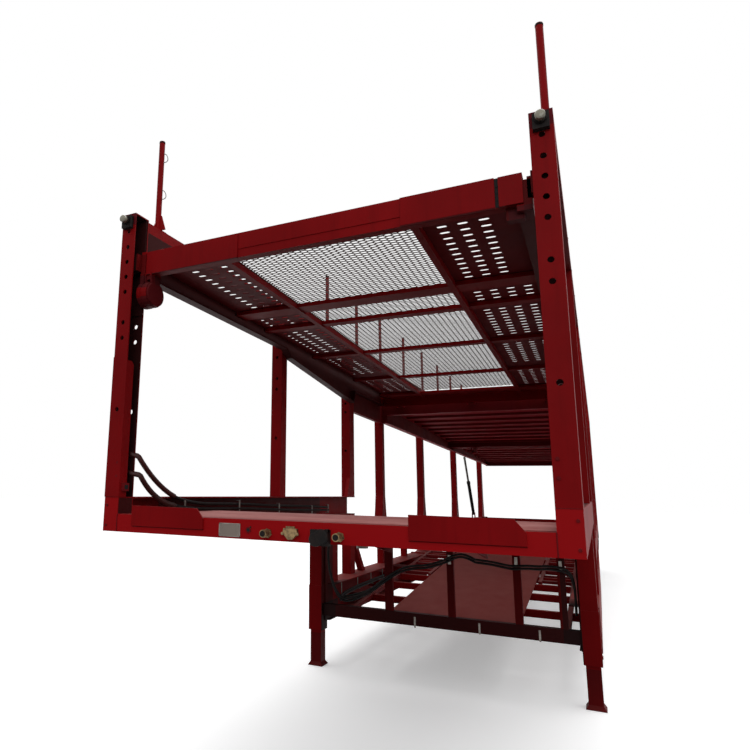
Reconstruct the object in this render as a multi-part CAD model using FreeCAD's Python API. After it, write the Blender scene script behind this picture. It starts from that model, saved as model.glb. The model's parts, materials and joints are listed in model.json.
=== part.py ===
import FreeCAD, Part
import math
import os

# Two-deck car transporter semi-trailer, sizes in millimetres.
# +X points to the tractor, +Y to the trailer's left, +Z up, the ground is Z = 0.
# "d" below is always the distance behind the front face of the front posts.

os.makedirs("parts", exist_ok=True)
V = FreeCAD.Vector

# ---------------------------------------------------------------- overall
LENGTH = 13750.0
WIDTH = 2550.0
TOP_Z = 4080.0               # tips of the guard posts
LAMP_REACH = 75.0            # marker lamps in front of the front posts
TAIL_LAMP_REACH = 15.0
HALF = WIDTH / 2
X_FACE = LENGTH / 2 - LAMP_REACH
D_REAR = LENGTH - LAMP_REACH - TAIL_LAMP_REACH
CLEAR = 10.0                 # running clearance of the decks between the posts
STRETCH = D_REAR / 13660.0   # the stations below are those of a trailer with its rear end at 13660


def station(*places):
    """Places along the trailer, moved in step with its length."""
    moved = tuple(STRETCH * d for d in places)
    return moved if len(moved) > 1 else moved[0]


# ---------------------------------------------------------------- posts and rails
POST_W = 104.0               # width across the trailer
POST_IN = HALF - POST_W      # inner face of the posts
POST_D = 130.0               # front post, along the trailer
POST_T = 8.0
POST_TOP = 3397.0
BEAM_BOT = 1400.0            # front beam of the gooseneck
BEAM_TOP = 1500.0
WAIST_TOP = 1598.0           # gooseneck side rail
HOLE_R = 15.0
HOLE_SIDES = 12
HOLE_BELOW_TOP = (120.0, 227.0, 327.0, 427.0, 527.0, 727.0, 827.0, 1277.0)
SLEEVE_T = 5.0               # stiffening plate on the lower half of the right-hand post
SLEEVE_TOP = 2450.0
SLEEVE_LIP = 60.0            # its lip over the open side of the post
SLEEVE_DROP = 25.0
CANT_H = 70.0
CANT_W = 80.0
CANT_BOT = POST_TOP - CANT_H

# side posts: distance behind the front, size along the trailer
SIDE_POSTS = (
    ("P2", station(2094.0), 106.0),
    ("P3", station(3850.0), 140.0),
    ("S1", station(5070.0), 90.0),
    ("S2", station(7200.0), 90.0),
    ("S3", station(9850.0), 90.0),
    ("S4", station(12900.0), 140.0),
)
FLARE_H = 420.0
FLARE_W = 75.0
WELL_POST_FIRST = station(5000.0)     # posts behind this stand on the sloping waist rail

# guard posts on the cant rails
GUARD_D = station(300.0, 3330.0, 4290.0, 5250.0, 6430.0, 7600.0, 8780.0, 9960.0, 11140.0, 12320.0, 13400.0)
GUARD_R = 20.0
GUARD_SIDES = 12

# ---------------------------------------------------------------- gooseneck
GOOSE_LEVEL = station(1050.0)         # length of its level front floor
GOOSE_END = station(2975.0)           # rear end of its floor, plane of the legs
GOOSE_END_Z = 1250.0
GOOSE_RAIL_END = station(4000.0)
GOOSE_PLATE_T = 8.0
GOOSE_STRINGER_Y = 430.0
KING_PIN_D = station(950.0)
KING_PLATE = 900.0
KING_PLATE_T = 12.0
KING_NECK_R = 25.4
KING_COLLAR_R = 35.75
KING_SHOULDER_R = 36.5
KING_SHOULDER_H = 35.0
KING_NECK_H = 35.0
KING_COLLAR_H = 14.0

# ---------------------------------------------------------------- lower deck
FLOOR_D0 = GOOSE_END + 85.0
FLOOR_FRONT_Z = 470.0       # its short level front
FLOOR_Z0 = 439.0
FLOOR_D1 = station(9000.0)
FLOOR_Z1 = 985.0
FLOOR_T = 6.0
PLATE_HALF = 610.0           # centre plate
TRACK_IN = 630.0
TRACK_OUT = 970.0
RAIL_IN = 1045.0             # inner edge of the lower side rail's flange
RUNG_D = station(3460.0, 4060.0, 4720.0, 5180.0, 5570.0, 6100.0, 6700.0, 7300.0, 7900.0, 8500.0)
CROSS_H = 70.0
CROSS_W = 60.0
LOW_RAIL_BOT = 400.0
LOW_RAIL_TOP = 750.0
WAIST2_TOP0 = 1205.0         # waist rail of the well, front and rear heights
WAIST2_TOP1 = 1100.0
WAIST2_H = 160.0
MAIN_Y = 520.0               # main rails over the axles
MAIN_W = 90.0
MAIN_BOT = 640.0
MAIN_TOP = 930.0
MAIN_D0 = FLOOR_D1 - 1000.0
MAIN_D1 = D_REAR - 190.0
TAIL_BEAM = 100.0            # depth of the rear beam
BUMPER_HALF = 1150.0
BUMPER_BOT = 440.0
BUMPER_H = 120.0

# ---------------------------------------------------------------- step frame and legs
STEP_BOT = 462.0
STEP_TOP = 570.0
STEP_DEPTH = 70.0
STEP_BACK = GOOSE_END + STEP_DEPTH
STEP_BARS = ((-466.0, 74.0), (105.0, 60.0), (666.0, 64.0), (1010.0, 60.0))
STEP_WEB_IN = 1121.0         # upright plates behind the legs
STEP_WEB_END = GOOSE_END + 365.0
LEG_Y = 1200.0
LEG_HOUSING = 130.0
LEG_SLEEVE = 138.0
LEG_INNER = 108.0
LEG_SLEEVE_BOT = 325.0
LEG_SLEEVE_TOP = 740.0
LEG_FOOT = 150.0

# ---------------------------------------------------------------- upper deck
DECK_Y = POST_IN - CLEAR     # half width of both moving decks
MESH_Z0 = 3070.0             # deck surface at the front posts
MESH_FALL = 0.030            # fall of the front deck to the rear
MESH_HALF = 556.0
DECK_RAIL_W = 70.0
SHEAVE_R = 82.0              # rope wheel under the right end of the deck's front beam
SHEAVE_W = 26.0
SHEAVE_Y = -1102.0
SHEAVE_D = 118.0
SHEAVE_Z = 2866.0
SHEAVE_SIDES = 20
MESH_ROWS = 18
MESH_COLUMNS = 7
MESH_STRAND = 26.0
TRACK2_IN = 600.0
TRACK2_OUT = DECK_Y - DECK_RAIL_W
DECK_BEAM_D = 80.0
DECK_BEAM_W = 60.0
DECK_BEAM_BOT = 2994.0
DECK_BEAM_TOP = 3148.0
DECK_A_END = station(4990.0)
DECK_A_CROSS = (
    (station(1210.0), 144.0),
    (station(1646.0), 127.0),
    (station(2590.0), 140.0),
    (station(3640.0), 150.0),
    (station(4750.0), 240.0),
)
HINGE_GAP = 35.0             # from a deck's end to the hinge
MID_D0 = DECK_A_END + 2 * HINGE_GAP
MID_D1 = station(9290.0)
REAR_D0 = MID_D1 + 20.0
REAR_D1 = D_REAR - 20.0
PLATE_Z0 = 2800.0            # solid plate of the rear decks, at MID_D0
PLATE_Z1 = 2470.0            # and at REAR_D1
GIRDER_Z0 = 2565.0
GIRDER_Z1 = 2378.0
RIB_PITCH = 420.0
RIB_H = 30.0
RIB_W = 60.0
HINGE_A = (DECK_A_END + HINGE_GAP, 2790.0)
HINGE_C = (MID_D1 + 10.0, 2440.0)
HINGE_R = 14.0

# ---------------------------------------------------------------- lift cylinders
CYL_Y = 1225.0
CYL_FOOT = (station(11940.0), 1215.0)
CYL_HEAD = (station(11125.0), 2430.0)
CYL_R = 34.0
CYL_BORE = 27.0
CYL_LEN = 850.0
ROD_R = 22.0
NECK_LEN = 56.0
ROD_START = 790.0
EYE_R = 34.0
EYE_W = 40.0
PIN_R = 14.0

# ---------------------------------------------------------------- wheels and axles
AXLE_D = station(10200.0, 11450.0)
WHEEL_SIDES = 32
TYRE_R = 420.0
TYRE_W = 248.0
TYRE_Y = (838.0, 1124.0)
RIM_R = 262.0
RIM_IN_R = 247.0
AXLE_R = 63.0
BEARING_GAP = 0.5
SPRING_Y = 520.0
SPRING_W = 76.0

# ---------------------------------------------------------------- air tanks
TANK_R = 125.0
TANK_Y = 830.0
TANK_Z = 780.0
TANK_SIDES = 20
TANK_D0 = FLOOR_D1 - 150.0
TANK_D1 = FLOOR_D1 + 680.0
TANK_STRAPS = (FLOOR_D1 + 10.0, FLOOR_D1 + 610.0)

# ---------------------------------------------------------------- ramps
RAMP_Y = 255.0
RAMP_W = 390.0
RAMP_BOT = 775.0
RAMP_H = 90.0
RAMP_LEN = 2600.0
RAMP_D1 = D_REAR - 60.0
RAMP_D0 = RAMP_D1 - RAMP_LEN


def bx(d0, d1, y0, y1, z0, z1):
    return Part.makeBox(d1 - d0, y1 - y0, z1 - z0, V(X_FACE - d1, y0, z0))


def prism_y(points, y0, y1):
    pts = [V(X_FACE - d, y0, z) for d, z in points]
    face = Part.Face(Part.makePolygon(pts + [pts[0]]))
    return face.extrude(V(0, y1 - y0, 0))


def prism_x(points, d0, d1):
    pts = [V(X_FACE - d1, y, z) for y, z in points]
    face = Part.Face(Part.makePolygon(pts + [pts[0]]))
    return face.extrude(V(d1 - d0, 0, 0))


def prism_z(points, z0, z1):
    pts = [V(X_FACE - d, y, z0) for d, y in points]
    face = Part.Face(Part.makePolygon(pts + [pts[0]]))
    return face.extrude(V(0, 0, z1 - z0))


def cyl(r, h, d, y, z, axis):
    return Part.makeCylinder(r, h, V(X_FACE - d, y, z), axis)


def cyl_y(r, d, y0, y1, z):
    return cyl(r, y1 - y0, d, y0, z, V(0, 1, 0))


def ring_points(r, n, turn=0.5):
    """Corners of an n-sided figure round a circle of radius r."""
    turns = [2 * math.pi * (k + turn) / n for k in range(n)]
    return [(r * math.cos(a), r * math.sin(a)) for a in turns]


def round_bar(r, p0, p1, n=16):
    """A bar with n flat sides between two points."""
    axis = p1 - p0
    side = V(0, 1, 0) if abs(axis.y) < 0.9 * axis.Length else V(1, 0, 0)
    a = axis.cross(side).normalize()
    b = axis.cross(a).normalize()
    pts = [p0 + a * q + b * w for q, w in ring_points(r, n)]
    return Part.Face(Part.makePolygon(pts + [pts[0]])).extrude(axis)


def hose(points, r, n=6):
    """A line of n flat sides along (d, y, z) points."""
    line = [V(X_FACE - d, y, z) for d, y, z in points]
    axis = line[1] - line[0]
    a = axis.cross(V(0, 1, 0)).normalize()
    b = axis.cross(a).normalize()
    pts = [line[0] + a * q + b * w for q, w in ring_points(r, n)]
    profile = Part.makePolygon(pts + [pts[0]])
    return Part.Wire(Part.makePolygon(line)).makePipeShell([profile], True, False, 1)


def join(shapes):
    out = shapes[0]
    if len(shapes) > 1:
        out = out.multiFuse(shapes[1:])
    return out.removeSplitter()


def both(shape):
    return Part.makeCompound([shape, flip(shape)])


def flip(shape):
    return shape.mirror(V(0, 0, 0), V(0, 1, 0))


def lerp(d, d0, z0, d1, z1):
    return z0 + (z1 - z0) * (d - d0) / (d1 - d0)


def floor_z(d):
    if d >= FLOOR_D1:
        return FLOOR_Z1
    return max(FLOOR_FRONT_Z, lerp(d, FLOOR_D0, FLOOR_Z0, FLOOR_D1, FLOOR_Z1))


def waist_z(d):
    return lerp(d, GOOSE_RAIL_END, WAIST2_TOP0, D_REAR, WAIST2_TOP1)


def deck_z(d):
    return MESH_Z0 - MESH_FALL * d


def plate_z(d):
    return lerp(d, MID_D0, PLATE_Z0, REAR_D1, PLATE_Z1)


def girder_z(d):
    return lerp(d, MID_D0, GIRDER_Z0, REAR_D1, GIRDER_Z1)


nodes = {}

# ================================================================ gooseneck
T = POST_T
side_rail = prism_x(
    [(POST_IN, BEAM_BOT), (HALF, BEAM_BOT), (HALF, WAIST_TOP), (POST_IN, WAIST_TOP),
     (POST_IN, WAIST_TOP - T), (HALF - T, WAIST_TOP - T), (HALF - T, BEAM_BOT + T),
     (POST_IN, BEAM_BOT + T)],
    POST_D, GOOSE_RAIL_END)
stub = bx(0, POST_D, POST_IN, HALF, BEAM_BOT, WAIST_TOP)
rail_left = join([side_rail, stub])
front_beam = bx(0, 120, -POST_IN, POST_IN, BEAM_BOT, BEAM_TOP)
front_beam = front_beam.cut(bx(T, 120 - T, -POST_IN, POST_IN, BEAM_BOT + T, BEAM_TOP - T))


def goose_z(d):
    if d <= GOOSE_LEVEL:
        return BEAM_TOP
    return lerp(d, GOOSE_LEVEL, BEAM_TOP, GOOSE_END, GOOSE_END_Z)


pieces = [rail_left, flip(rail_left), front_beam]
for yy in (-GOOSE_STRINGER_Y, GOOSE_STRINGER_Y):
    pts = [(120, BEAM_BOT), (120, BEAM_TOP - GOOSE_PLATE_T), (GOOSE_LEVEL, BEAM_TOP - GOOSE_PLATE_T),
           (GOOSE_END, GOOSE_END_Z - GOOSE_PLATE_T), (GOOSE_END, GOOSE_END_Z - 160),
           (GOOSE_LEVEL + 600, BEAM_BOT - 70), (GOOSE_LEVEL + 450, BEAM_BOT)]
    web = prism_y(pts, yy - 5, yy + 5)
    flange = bx(120, GOOSE_LEVEL + 450, yy - 50, yy + 50, BEAM_BOT, BEAM_BOT + T)
    pieces += [web, flange]
for d in station(520.0, 1500.0, 2200.0) + (GOOSE_END - 80,):
    top = goose_z(d + 60) - GOOSE_PLATE_T
    low = top - 80
    out_y = HALF - T if low >= BEAM_BOT + T else POST_IN
    bar = bx(d, d + 60, -out_y, out_y, low, top)
    bar = bar.cut(bx(d + 6, d + 60, -out_y, out_y, low + 6, top - 6))
    pieces.append(bar)
    if low < BEAM_BOT:
        for s in (-1, 1):
            y0, y1 = sorted((s * (POST_IN - 60), s * POST_IN))
            pieces.append(bx(d, d + 60, y0, y1, low, BEAM_BOT + 40))
            y0, y1 = sorted((s * (POST_IN - 60), s * HALF))
            pieces.append(bx(d, d + 60, y0, y1, BEAM_BOT - 12, BEAM_BOT))
nodes["gooseneck_frame"] = join(pieces)

GP = GOOSE_PLATE_T
nodes["gooseneck_floor"] = prism_y(
    [(120, BEAM_TOP - GP), (GOOSE_LEVEL, BEAM_TOP - GP), (GOOSE_END, GOOSE_END_Z - GP),
     (GOOSE_END, GOOSE_END_Z), (GOOSE_LEVEL, BEAM_TOP), (120, BEAM_TOP)], -POST_IN, POST_IN)

z = BEAM_BOT - KING_PLATE_T
half_plate = KING_PLATE / 2
plate = bx(KING_PIN_D - half_plate, KING_PIN_D + half_plate, -half_plate, half_plate, z, BEAM_BOT)
plate = plate.makeChamfer(2.0, [e for e in plate.Edges if abs(e.BoundBox.ZMin - z) < 0.01
                                and abs(e.BoundBox.ZMax - z) < 0.01])
down = V(0, 0, -1)
shoulder = cyl(KING_SHOULDER_R, KING_PLATE_T / 2 + KING_SHOULDER_H, KING_PIN_D, 0, z + KING_PLATE_T / 2,
               down)
neck = cyl(KING_NECK_R, KING_SHOULDER_H + KING_NECK_H + KING_COLLAR_H, KING_PIN_D, 0, z, down)
collar = cyl(KING_COLLAR_R, KING_COLLAR_H, KING_PIN_D, 0, z - KING_SHOULDER_H - KING_NECK_H, down)
nodes["king_pin"] = join([plate, shoulder, neck, collar])

# ================================================================ front posts
post = prism_z(
    [(0, POST_IN), (0, HALF), (POST_D, HALF), (POST_D, POST_IN), (POST_D - T, POST_IN),
     (POST_D - T, HALF - T), (T, HALF - T), (T, POST_IN)], WAIST_TOP, POST_TOP)
cap = bx(0, POST_D, POST_IN, HALF, POST_TOP - T, POST_TOP)
post = join([post, cap])
sleeve = bx(-SLEEVE_T, 0, POST_IN - SLEEVE_T, HALF, WAIST_TOP, SLEEVE_TOP)
lip_top = SLEEVE_TOP - SLEEVE_DROP
lip = prism_y([(-SLEEVE_T, WAIST_TOP), (-SLEEVE_T, lip_top), (SLEEVE_LIP - 20, lip_top),
               (SLEEVE_LIP, lip_top - 20),
               (SLEEVE_LIP, WAIST_TOP)], POST_IN - SLEEVE_T, POST_IN)
hole_y = (POST_IN + HALF) / 2


def pin_holes(d0, d1, rows):
    holes = []
    for below in rows:
        hz = POST_TOP - below
        holes.append(prism_x([(hole_y + a, hz + b) for a, b in ring_points(HOLE_R, HOLE_SIDES)], d0, d1))
    return holes


holes = pin_holes(-SLEEVE_T - 1, POST_D + 1, HOLE_BELOW_TOP)
nodes["front_post_left"] = post.cut(holes)
nodes["front_post_right"] = flip(join([post, sleeve, lip]).cut(holes))

# ================================================================ side posts
side = []
for name, d, w in SIDE_POSTS:
    y0 = POST_IN
    if name == "P2":
        foot = WAIST_TOP
    elif name == "P3":
        foot = LOW_RAIL_TOP
    else:
        foot = waist_z(d + w + FLARE_W)
    tube = bx(d, d + w, y0, HALF, foot, CANT_BOT)
    if d > WELL_POST_FIRST:
        flare = prism_y([(d - FLARE_W, foot), (d + w + FLARE_W, foot), (d + w, foot + FLARE_H),
                         (d, foot + FLARE_H)],
                        y0, HALF)
        tube = join([tube, flare])
        seat = prism_y([(d - 200, waist_z(d - 200)), (d + w + 200, waist_z(d + w + 200)),
                        (d + w + 200, foot - 200), (d - 200, foot - 200)], y0 - 10, HALF + 10)
        tube = tube.cut(seat)
    if name in ("P2", "P3"):
        tube = tube.cut(pin_holes(d - 1, d + w + 1, HOLE_BELOW_TOP))
    if name == "P3":
        tube = tube.cut(bx(d - 1, GOOSE_RAIL_END, y0 - 1, HALF + 1, BEAM_BOT, WAIST_TOP))
        gusset = prism_y([(d, WAIST_TOP), (d, WAIST_TOP + 210), (d - 90, WAIST_TOP)], y0, y0 + 40)
        tube = Part.makeCompound([join([s, gusset]) if s.BoundBox.ZMax > WAIST_TOP + 100 else s
                                  for s in tube.Solids])
    side.append(tube)
nodes["side_posts"] = Part.makeCompound([s for p in side for q in (p, flip(p)) for s in q.Solids])

# ================================================================ cant rails and guard posts
nodes["cant_rails"] = both(bx(POST_D, D_REAR - 60, HALF - CANT_W, HALF, CANT_BOT, POST_TOP))

guards = []
gy = HALF - CANT_W / 2
for d in GUARD_D:
    outline = [(d + a, gy + b) for a, b in ring_points(GUARD_R, GUARD_SIDES)]
    guard = prism_z(outline, POST_TOP, TOP_Z)
    guards += [guard, flip(guard)]
nodes["guard_posts"] = Part.makeCompound(guards)

# ================================================================ lower side frames
t = 8.0
D0 = GOOSE_END + STEP_DEPTH / 2 + LEG_SLEEVE / 2
LEVEL_END = station(7000.0)   # the rail is level to here and then rises to the waist rail
rise_low = waist_z(FLOOR_D1) - WAIST2_H - 90
rise_top = waist_z(FLOOR_D1 - 400) - WAIST2_H
low_pts = [(D0, LOW_RAIL_BOT), (LEVEL_END, LOW_RAIL_BOT), (FLOOR_D1, rise_low),
           (FLOOR_D1 + 250, waist_z(FLOOR_D1 + 250) - WAIST2_H), (FLOOR_D1 - 400, rise_top),
           (LEVEL_END, LOW_RAIL_TOP), (D0, LOW_RAIL_TOP)]
low_web = prism_y(low_pts, HALF - t, HALF)
flange_end = FLOOR_D1 - 350
flange_z = waist_z(flange_end) - WAIST2_H
low_top = prism_y([(D0, LOW_RAIL_TOP - t), (LEVEL_END, LOW_RAIL_TOP - t), (flange_end, flange_z - t),
                   (flange_end, flange_z), (LEVEL_END, LOW_RAIL_TOP), (D0, LOW_RAIL_TOP)], RAIL_IN, HALF)
low_bot = prism_y([(D0, LOW_RAIL_BOT), (LEVEL_END, LOW_RAIL_BOT), (FLOOR_D1, rise_low),
                   (FLOOR_D1, rise_low + t), (LEVEL_END, LOW_RAIL_BOT + t), (D0, LOW_RAIL_BOT + t)],
                  RAIL_IN + 60, HALF)
waist = prism_y([(GOOSE_RAIL_END, waist_z(GOOSE_RAIL_END)), (D_REAR - 100, waist_z(D_REAR - 100)),
                 (D_REAR - 100, waist_z(D_REAR - 100) - WAIST2_H),
                 (GOOSE_RAIL_END, waist_z(GOOSE_RAIL_END) - WAIST2_H)], POST_IN, HALF)
waist = waist.cut(prism_y([(GOOSE_RAIL_END + t, waist_z(GOOSE_RAIL_END) - t),
                           (D_REAR - 100 - t, waist_z(D_REAR - 100) - t),
                           (D_REAR - 100 - t, waist_z(D_REAR - 100) - WAIST2_H + t),
                           (GOOSE_RAIL_END + t, waist_z(GOOSE_RAIL_END) - WAIST2_H + t)], POST_IN - 1,
                          HALF - t))
pieces = [waist]
pivot_d, pivot_z = CYL_FOOT
for y0 in (CYL_Y - EYE_W / 2 - 14, CYL_Y + EYE_W / 2 + 4):
    lug = prism_y([(pivot_d - 60, waist_z(pivot_d) - 8), (pivot_d + 60, waist_z(pivot_d) - 8),
                   (pivot_d + 24, pivot_z + 30), (pivot_d - 24, pivot_z + 30)], y0, y0 + 10)
    pieces.append(lug)
pieces.append(cyl_y(PIN_R, pivot_d, CYL_Y - EYE_W / 2 - 18, CYL_Y + EYE_W / 2 + 18, pivot_z))
nodes["waist_rails"] = both(join(pieces))

step_web = bx(D0 - LEG_SLEEVE / 2, STEP_WEB_END, STEP_WEB_IN, STEP_WEB_IN + 10, LOW_RAIL_BOT + 10,
              GOOSE_END_Z - 20)
step_tie = bx(D0, D0 + 10, STEP_WEB_IN, HALF - t, LOW_RAIL_BOT + 10, LOW_RAIL_TOP - t)
nodes["lower_side_frames"] = both(join([low_web, low_top, low_bot, step_web, step_tie]))

uprights = []


def rail_top(d):
    return lerp(max(d, LEVEL_END), LEVEL_END, LOW_RAIL_TOP, flange_end, flange_z)


def waist_under(d):
    return waist_z(d) - WAIST2_H


UPRIGHT_W = 80.0
for d in station(5075.0, 6150.0, 7205.0, 8100.0):
    e = d + UPRIGHT_W
    uprights.append(prism_y([(d, rail_top(d)), (e, rail_top(e)), (e, waist_under(e)), (d, waist_under(d))],
                            POST_IN + 20, HALF - t))
G = GOOSE_RAIL_END
BRACE_BEND = 1060.0
brace = prism_y([(G, waist_under(G)), (G, BRACE_BEND), (G + 230, LOW_RAIL_TOP), (G + 330, LOW_RAIL_TOP),
                 (G + UPRIGHT_W, BRACE_BEND), (G + UPRIGHT_W, waist_under(G + UPRIGHT_W))],
                POST_IN, POST_IN + 60)
uprights.append(brace)
nodes["side_uprights"] = Part.makeCompound([q for u in uprights for q in (u, flip(u))])

# ================================================================ chassis under the lower deck
pieces = []
for d in RUNG_D:
    top = min(floor_z(d), floor_z(d + CROSS_W)) - FLOOR_T - 2
    y_out = HALF - t
    rung = bx(d, d + CROSS_W, -y_out, y_out, top - CROSS_H, top)
    rung = rung.cut(bx(d + 6, d + CROSS_W, -y_out + 8, y_out - 8, top - CROSS_H + 6, top - 6))
    pieces.append(rung)
BEND_D = lerp(FLOOR_FRONT_Z, FLOOR_Z0, FLOOR_D0, FLOOR_Z1, FLOOR_D1)   # where the level front ends
under = FLOOR_T + 2
for yy in (-PLATE_HALF + 60, PLATE_HALF - 60):
    pts = [(STEP_BACK, FLOOR_FRONT_Z - under), (BEND_D, FLOOR_FRONT_Z - under),
           (FLOOR_D1, FLOOR_Z1 - under),
           (FLOOR_D1, MAIN_BOT), (MAIN_D0, MAIN_BOT), (RUNG_D[1], floor_z(RUNG_D[1]) - CROSS_H - under),
           (RUNG_D[0], floor_z(RUNG_D[0]) - CROSS_H - under), (STEP_BACK, STEP_BOT - 15)]
    pieces.append(prism_y(pts, yy - 4, yy + 4))
nodes["well_frame"] = join(pieces)
pieces = []
for yy in (-MAIN_Y, MAIN_Y):
    web = bx(FLOOR_D1 - 400, MAIN_D1, yy - 5, yy + 5, MAIN_BOT, MAIN_TOP)
    low = bx(FLOOR_D1 - 900, MAIN_D1, yy - MAIN_W / 2, yy + MAIN_W / 2, MAIN_BOT, MAIN_BOT + 10)
    top = bx(FLOOR_D1 - 300, MAIN_D1, yy - MAIN_W / 2, yy + MAIN_W / 2, MAIN_TOP - 10, MAIN_TOP)
    pieces += [web, low, top]
MID_AXLE = (AXLE_D[0] + AXLE_D[1]) / 2
REAR_CROSS = (FLOOR_D1, FLOOR_D1 + 600, AXLE_D[0] - 30, MID_AXLE - 30, AXLE_D[1] - 30,
              D_REAR - 1560, D_REAR - 960, D_REAR - 360)
for d in REAR_CROSS:
    for s in (-1, 1):
        y0, y1 = sorted((s * (POST_IN + 10), s * (HALF - t)))
        pieces.append(bx(d, d + 60, y0, y1, MAIN_TOP, waist_z(d) - WAIST2_H + 2))
    z1 = FLOOR_Z1 - FLOOR_T
    bar = bx(d, d + 60, -(HALF - t), HALF - t, MAIN_TOP, z1)
    bar = bar.cut(bx(d + 5, d + 60, -(HALF - t) + 5, HALF - t - 5, MAIN_TOP + 5, z1 - 5))
    pieces.append(bar)
LOW_CROSS = (FLOOR_D1 + 100, MID_AXLE, D_REAR - 1360, D_REAR - 280)
for d in LOW_CROSS:
    pieces.append(bx(d, d + 60, -MAIN_Y, MAIN_Y, MAIN_BOT + 20, MAIN_BOT + 90))
guide_top = RAMP_BOT - 5
for y0, y1 in ((-MAIN_Y, -RAMP_Y - RAMP_W / 2 + 50), (-50, 50), (RAMP_Y + RAMP_W / 2 - 50, MAIN_Y)):
    pieces.append(bx(LOW_CROSS[2] - 100, MAIN_D1, y0, y1, guide_top - 12, guide_top))
for d in LOW_CROSS[2:]:
    pieces.append(bx(d, d + 60, -40, 40, MAIN_BOT + 90, guide_top - 12))
for s in (-1, 1):
    for d in TANK_STRAPS:
        y = s * TANK_Y
        outer = prism_x([(y + a, TANK_Z + b) for a, b in ring_points(TANK_R + 8, TANK_SIDES)], d, d + 40)
        inner = prism_x([(y + a, TANK_Z + b) for a, b in ring_points(TANK_R, TANK_SIDES)], d - 1, d + 41)
        ring = outer.cut(inner)
        tie = bx(d, d + 40, y - 20, y + 20, TANK_Z + TANK_R - 2, MAIN_TOP)
        pieces += [ring, tie]
chassis = join(pieces)
nodes["chassis"] = chassis

# ================================================================ lower deck floor
F = FLOOR_T
plate = prism_y(
    [(STEP_BACK, FLOOR_FRONT_Z - F), (BEND_D, FLOOR_FRONT_Z - F), (FLOOR_D1, FLOOR_Z1 - F),
     (FLOOR_D1, FLOOR_Z1),
     (BEND_D, FLOOR_FRONT_Z), (STEP_BACK, FLOOR_FRONT_Z)], -PLATE_HALF, PLATE_HALF)
rear_plate = bx(FLOOR_D1, D_REAR - 110, -RAIL_IN, RAIL_IN, FLOOR_Z1 - F, FLOOR_Z1)
nodes["lower_floor"] = join([plate, rear_plate])
LADDER_D0 = FLOOR_D0 + 240
LADDER_H = 40.0
pieces = []
for y0 in (TRACK_IN, TRACK_OUT - LADDER_H):
    pieces.append(prism_y([(LADDER_D0, FLOOR_FRONT_Z - LADDER_H), (BEND_D, FLOOR_FRONT_Z - LADDER_H),
                           (FLOOR_D1, FLOOR_Z1 - LADDER_H), (FLOOR_D1, FLOOR_Z1), (BEND_D, FLOOR_FRONT_Z),
                           (LADDER_D0, FLOOR_FRONT_Z)], y0, y0 + LADDER_H))
n = 20
for k in range(n):
    d = LADDER_D0 + 60 + k * (FLOOR_D1 - LADDER_D0 - 180) / (n - 1)
    pieces.append(prism_y([(d - 22, floor_z(d - 22) - 30), (d + 22, floor_z(d + 22) - 30),
                           (d + 22, floor_z(d + 22) - 2), (d - 22, floor_z(d - 22) - 2)], TRACK_IN,
                          TRACK_OUT))
ladder = join(pieces)
nodes["ladder_tracks"] = both(ladder)

# ================================================================ step frame and landing legs
s0 = GOOSE_END
pieces = [bx(s0, s0 + STEP_DEPTH, -LEG_Y + 70, LEG_Y - 70, STEP_BOT, STEP_TOP)]
for y, w in STEP_BARS:
    pieces.append(bx(s0, s0 + 40, y - w / 2, y + w / 2, STEP_TOP, GOOSE_END_Z + 30))
pieces.append(bx(s0, s0 + 40, -LEG_Y + 70, LEG_Y - 70, GOOSE_END_Z - 30, GOOSE_END_Z + 40))
nodes["step_frame"] = join(pieces)


def landing_leg():
    c = GOOSE_END + 35
    h = LEG_HOUSING / 2
    s = LEG_SLEEVE / 2
    i = LEG_INNER / 2
    f = LEG_FOOT / 2
    y = LEG_Y
    housing = bx(c - h, c + h, y - h, y + h, LEG_SLEEVE_TOP, BEAM_BOT)
    sleeve = bx(c - s, c + s, y - s, y + s, LEG_SLEEVE_BOT, LEG_SLEEVE_TOP)
    inner = bx(c - i, c + i, y - i, y + i, 30, LEG_SLEEVE_BOT)
    lower = [V(X_FACE - c - f, y - f, 0), V(X_FACE - c + f, y - f, 0), V(X_FACE - c + f, y + f, 0),
             V(X_FACE - c - f, y + f, 0)]
    upper = [V(X_FACE - c - i, y - i, 34), V(X_FACE - c + i, y - i, 34), V(X_FACE - c + i, y + i, 34),
             V(X_FACE - c - i, y + i, 34)]
    rings = [Part.makePolygon(ring + [ring[0]]) for ring in (lower, upper)]
    foot = Part.makeLoft(rings, True, True)
    hub = V(X_FACE - c, y + s - 6, 385)
    crank = round_bar(15, hub, hub + V(0, 26, 0))
    return join([housing, sleeve, inner, foot, crank])


leg = landing_leg()
keep_in = bx(0, 20000, -HALF, HALF, -10, 5000)
leg = leg.common(keep_in)
leg = leg.cut(nodes["step_frame"])
nodes["landing_legs"] = both(leg)

# ================================================================ axles, springs, wheels
hub_end = TYRE_Y[1] + 40


def axle(d):
    z = TYRE_R
    beam = round_bar(AXLE_R, V(X_FACE - d, -700, z), V(X_FACE - d, 700, z))
    spindle = cyl_y(40, d, -hub_end, hub_end, z)
    pads = [bx(d - 55, d + 55, y - 45, y + 45, z + 40, z + AXLE_R + 22) for y in (-SPRING_Y, SPRING_Y)]
    cams = [bx(d + 50, d + 75, y - 60, y + 60, z - 40, z + 40) for y in (-600, 600)]
    pots = []
    for s in (-1, 1):
        pot = V(X_FACE - d - 75, s * 380, z + 30)
        pots.append(round_bar(75, pot, pot + V(-130, 0, 0)))
        pots.append(bx(d + 40, d + 80, s * 380 - 40, s * 380 + 40, z - 20, z + 80))
    return join([beam, spindle] + pads + cams + pots)


nodes["axles"] = Part.makeCompound([axle(d) for d in AXLE_D])

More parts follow.
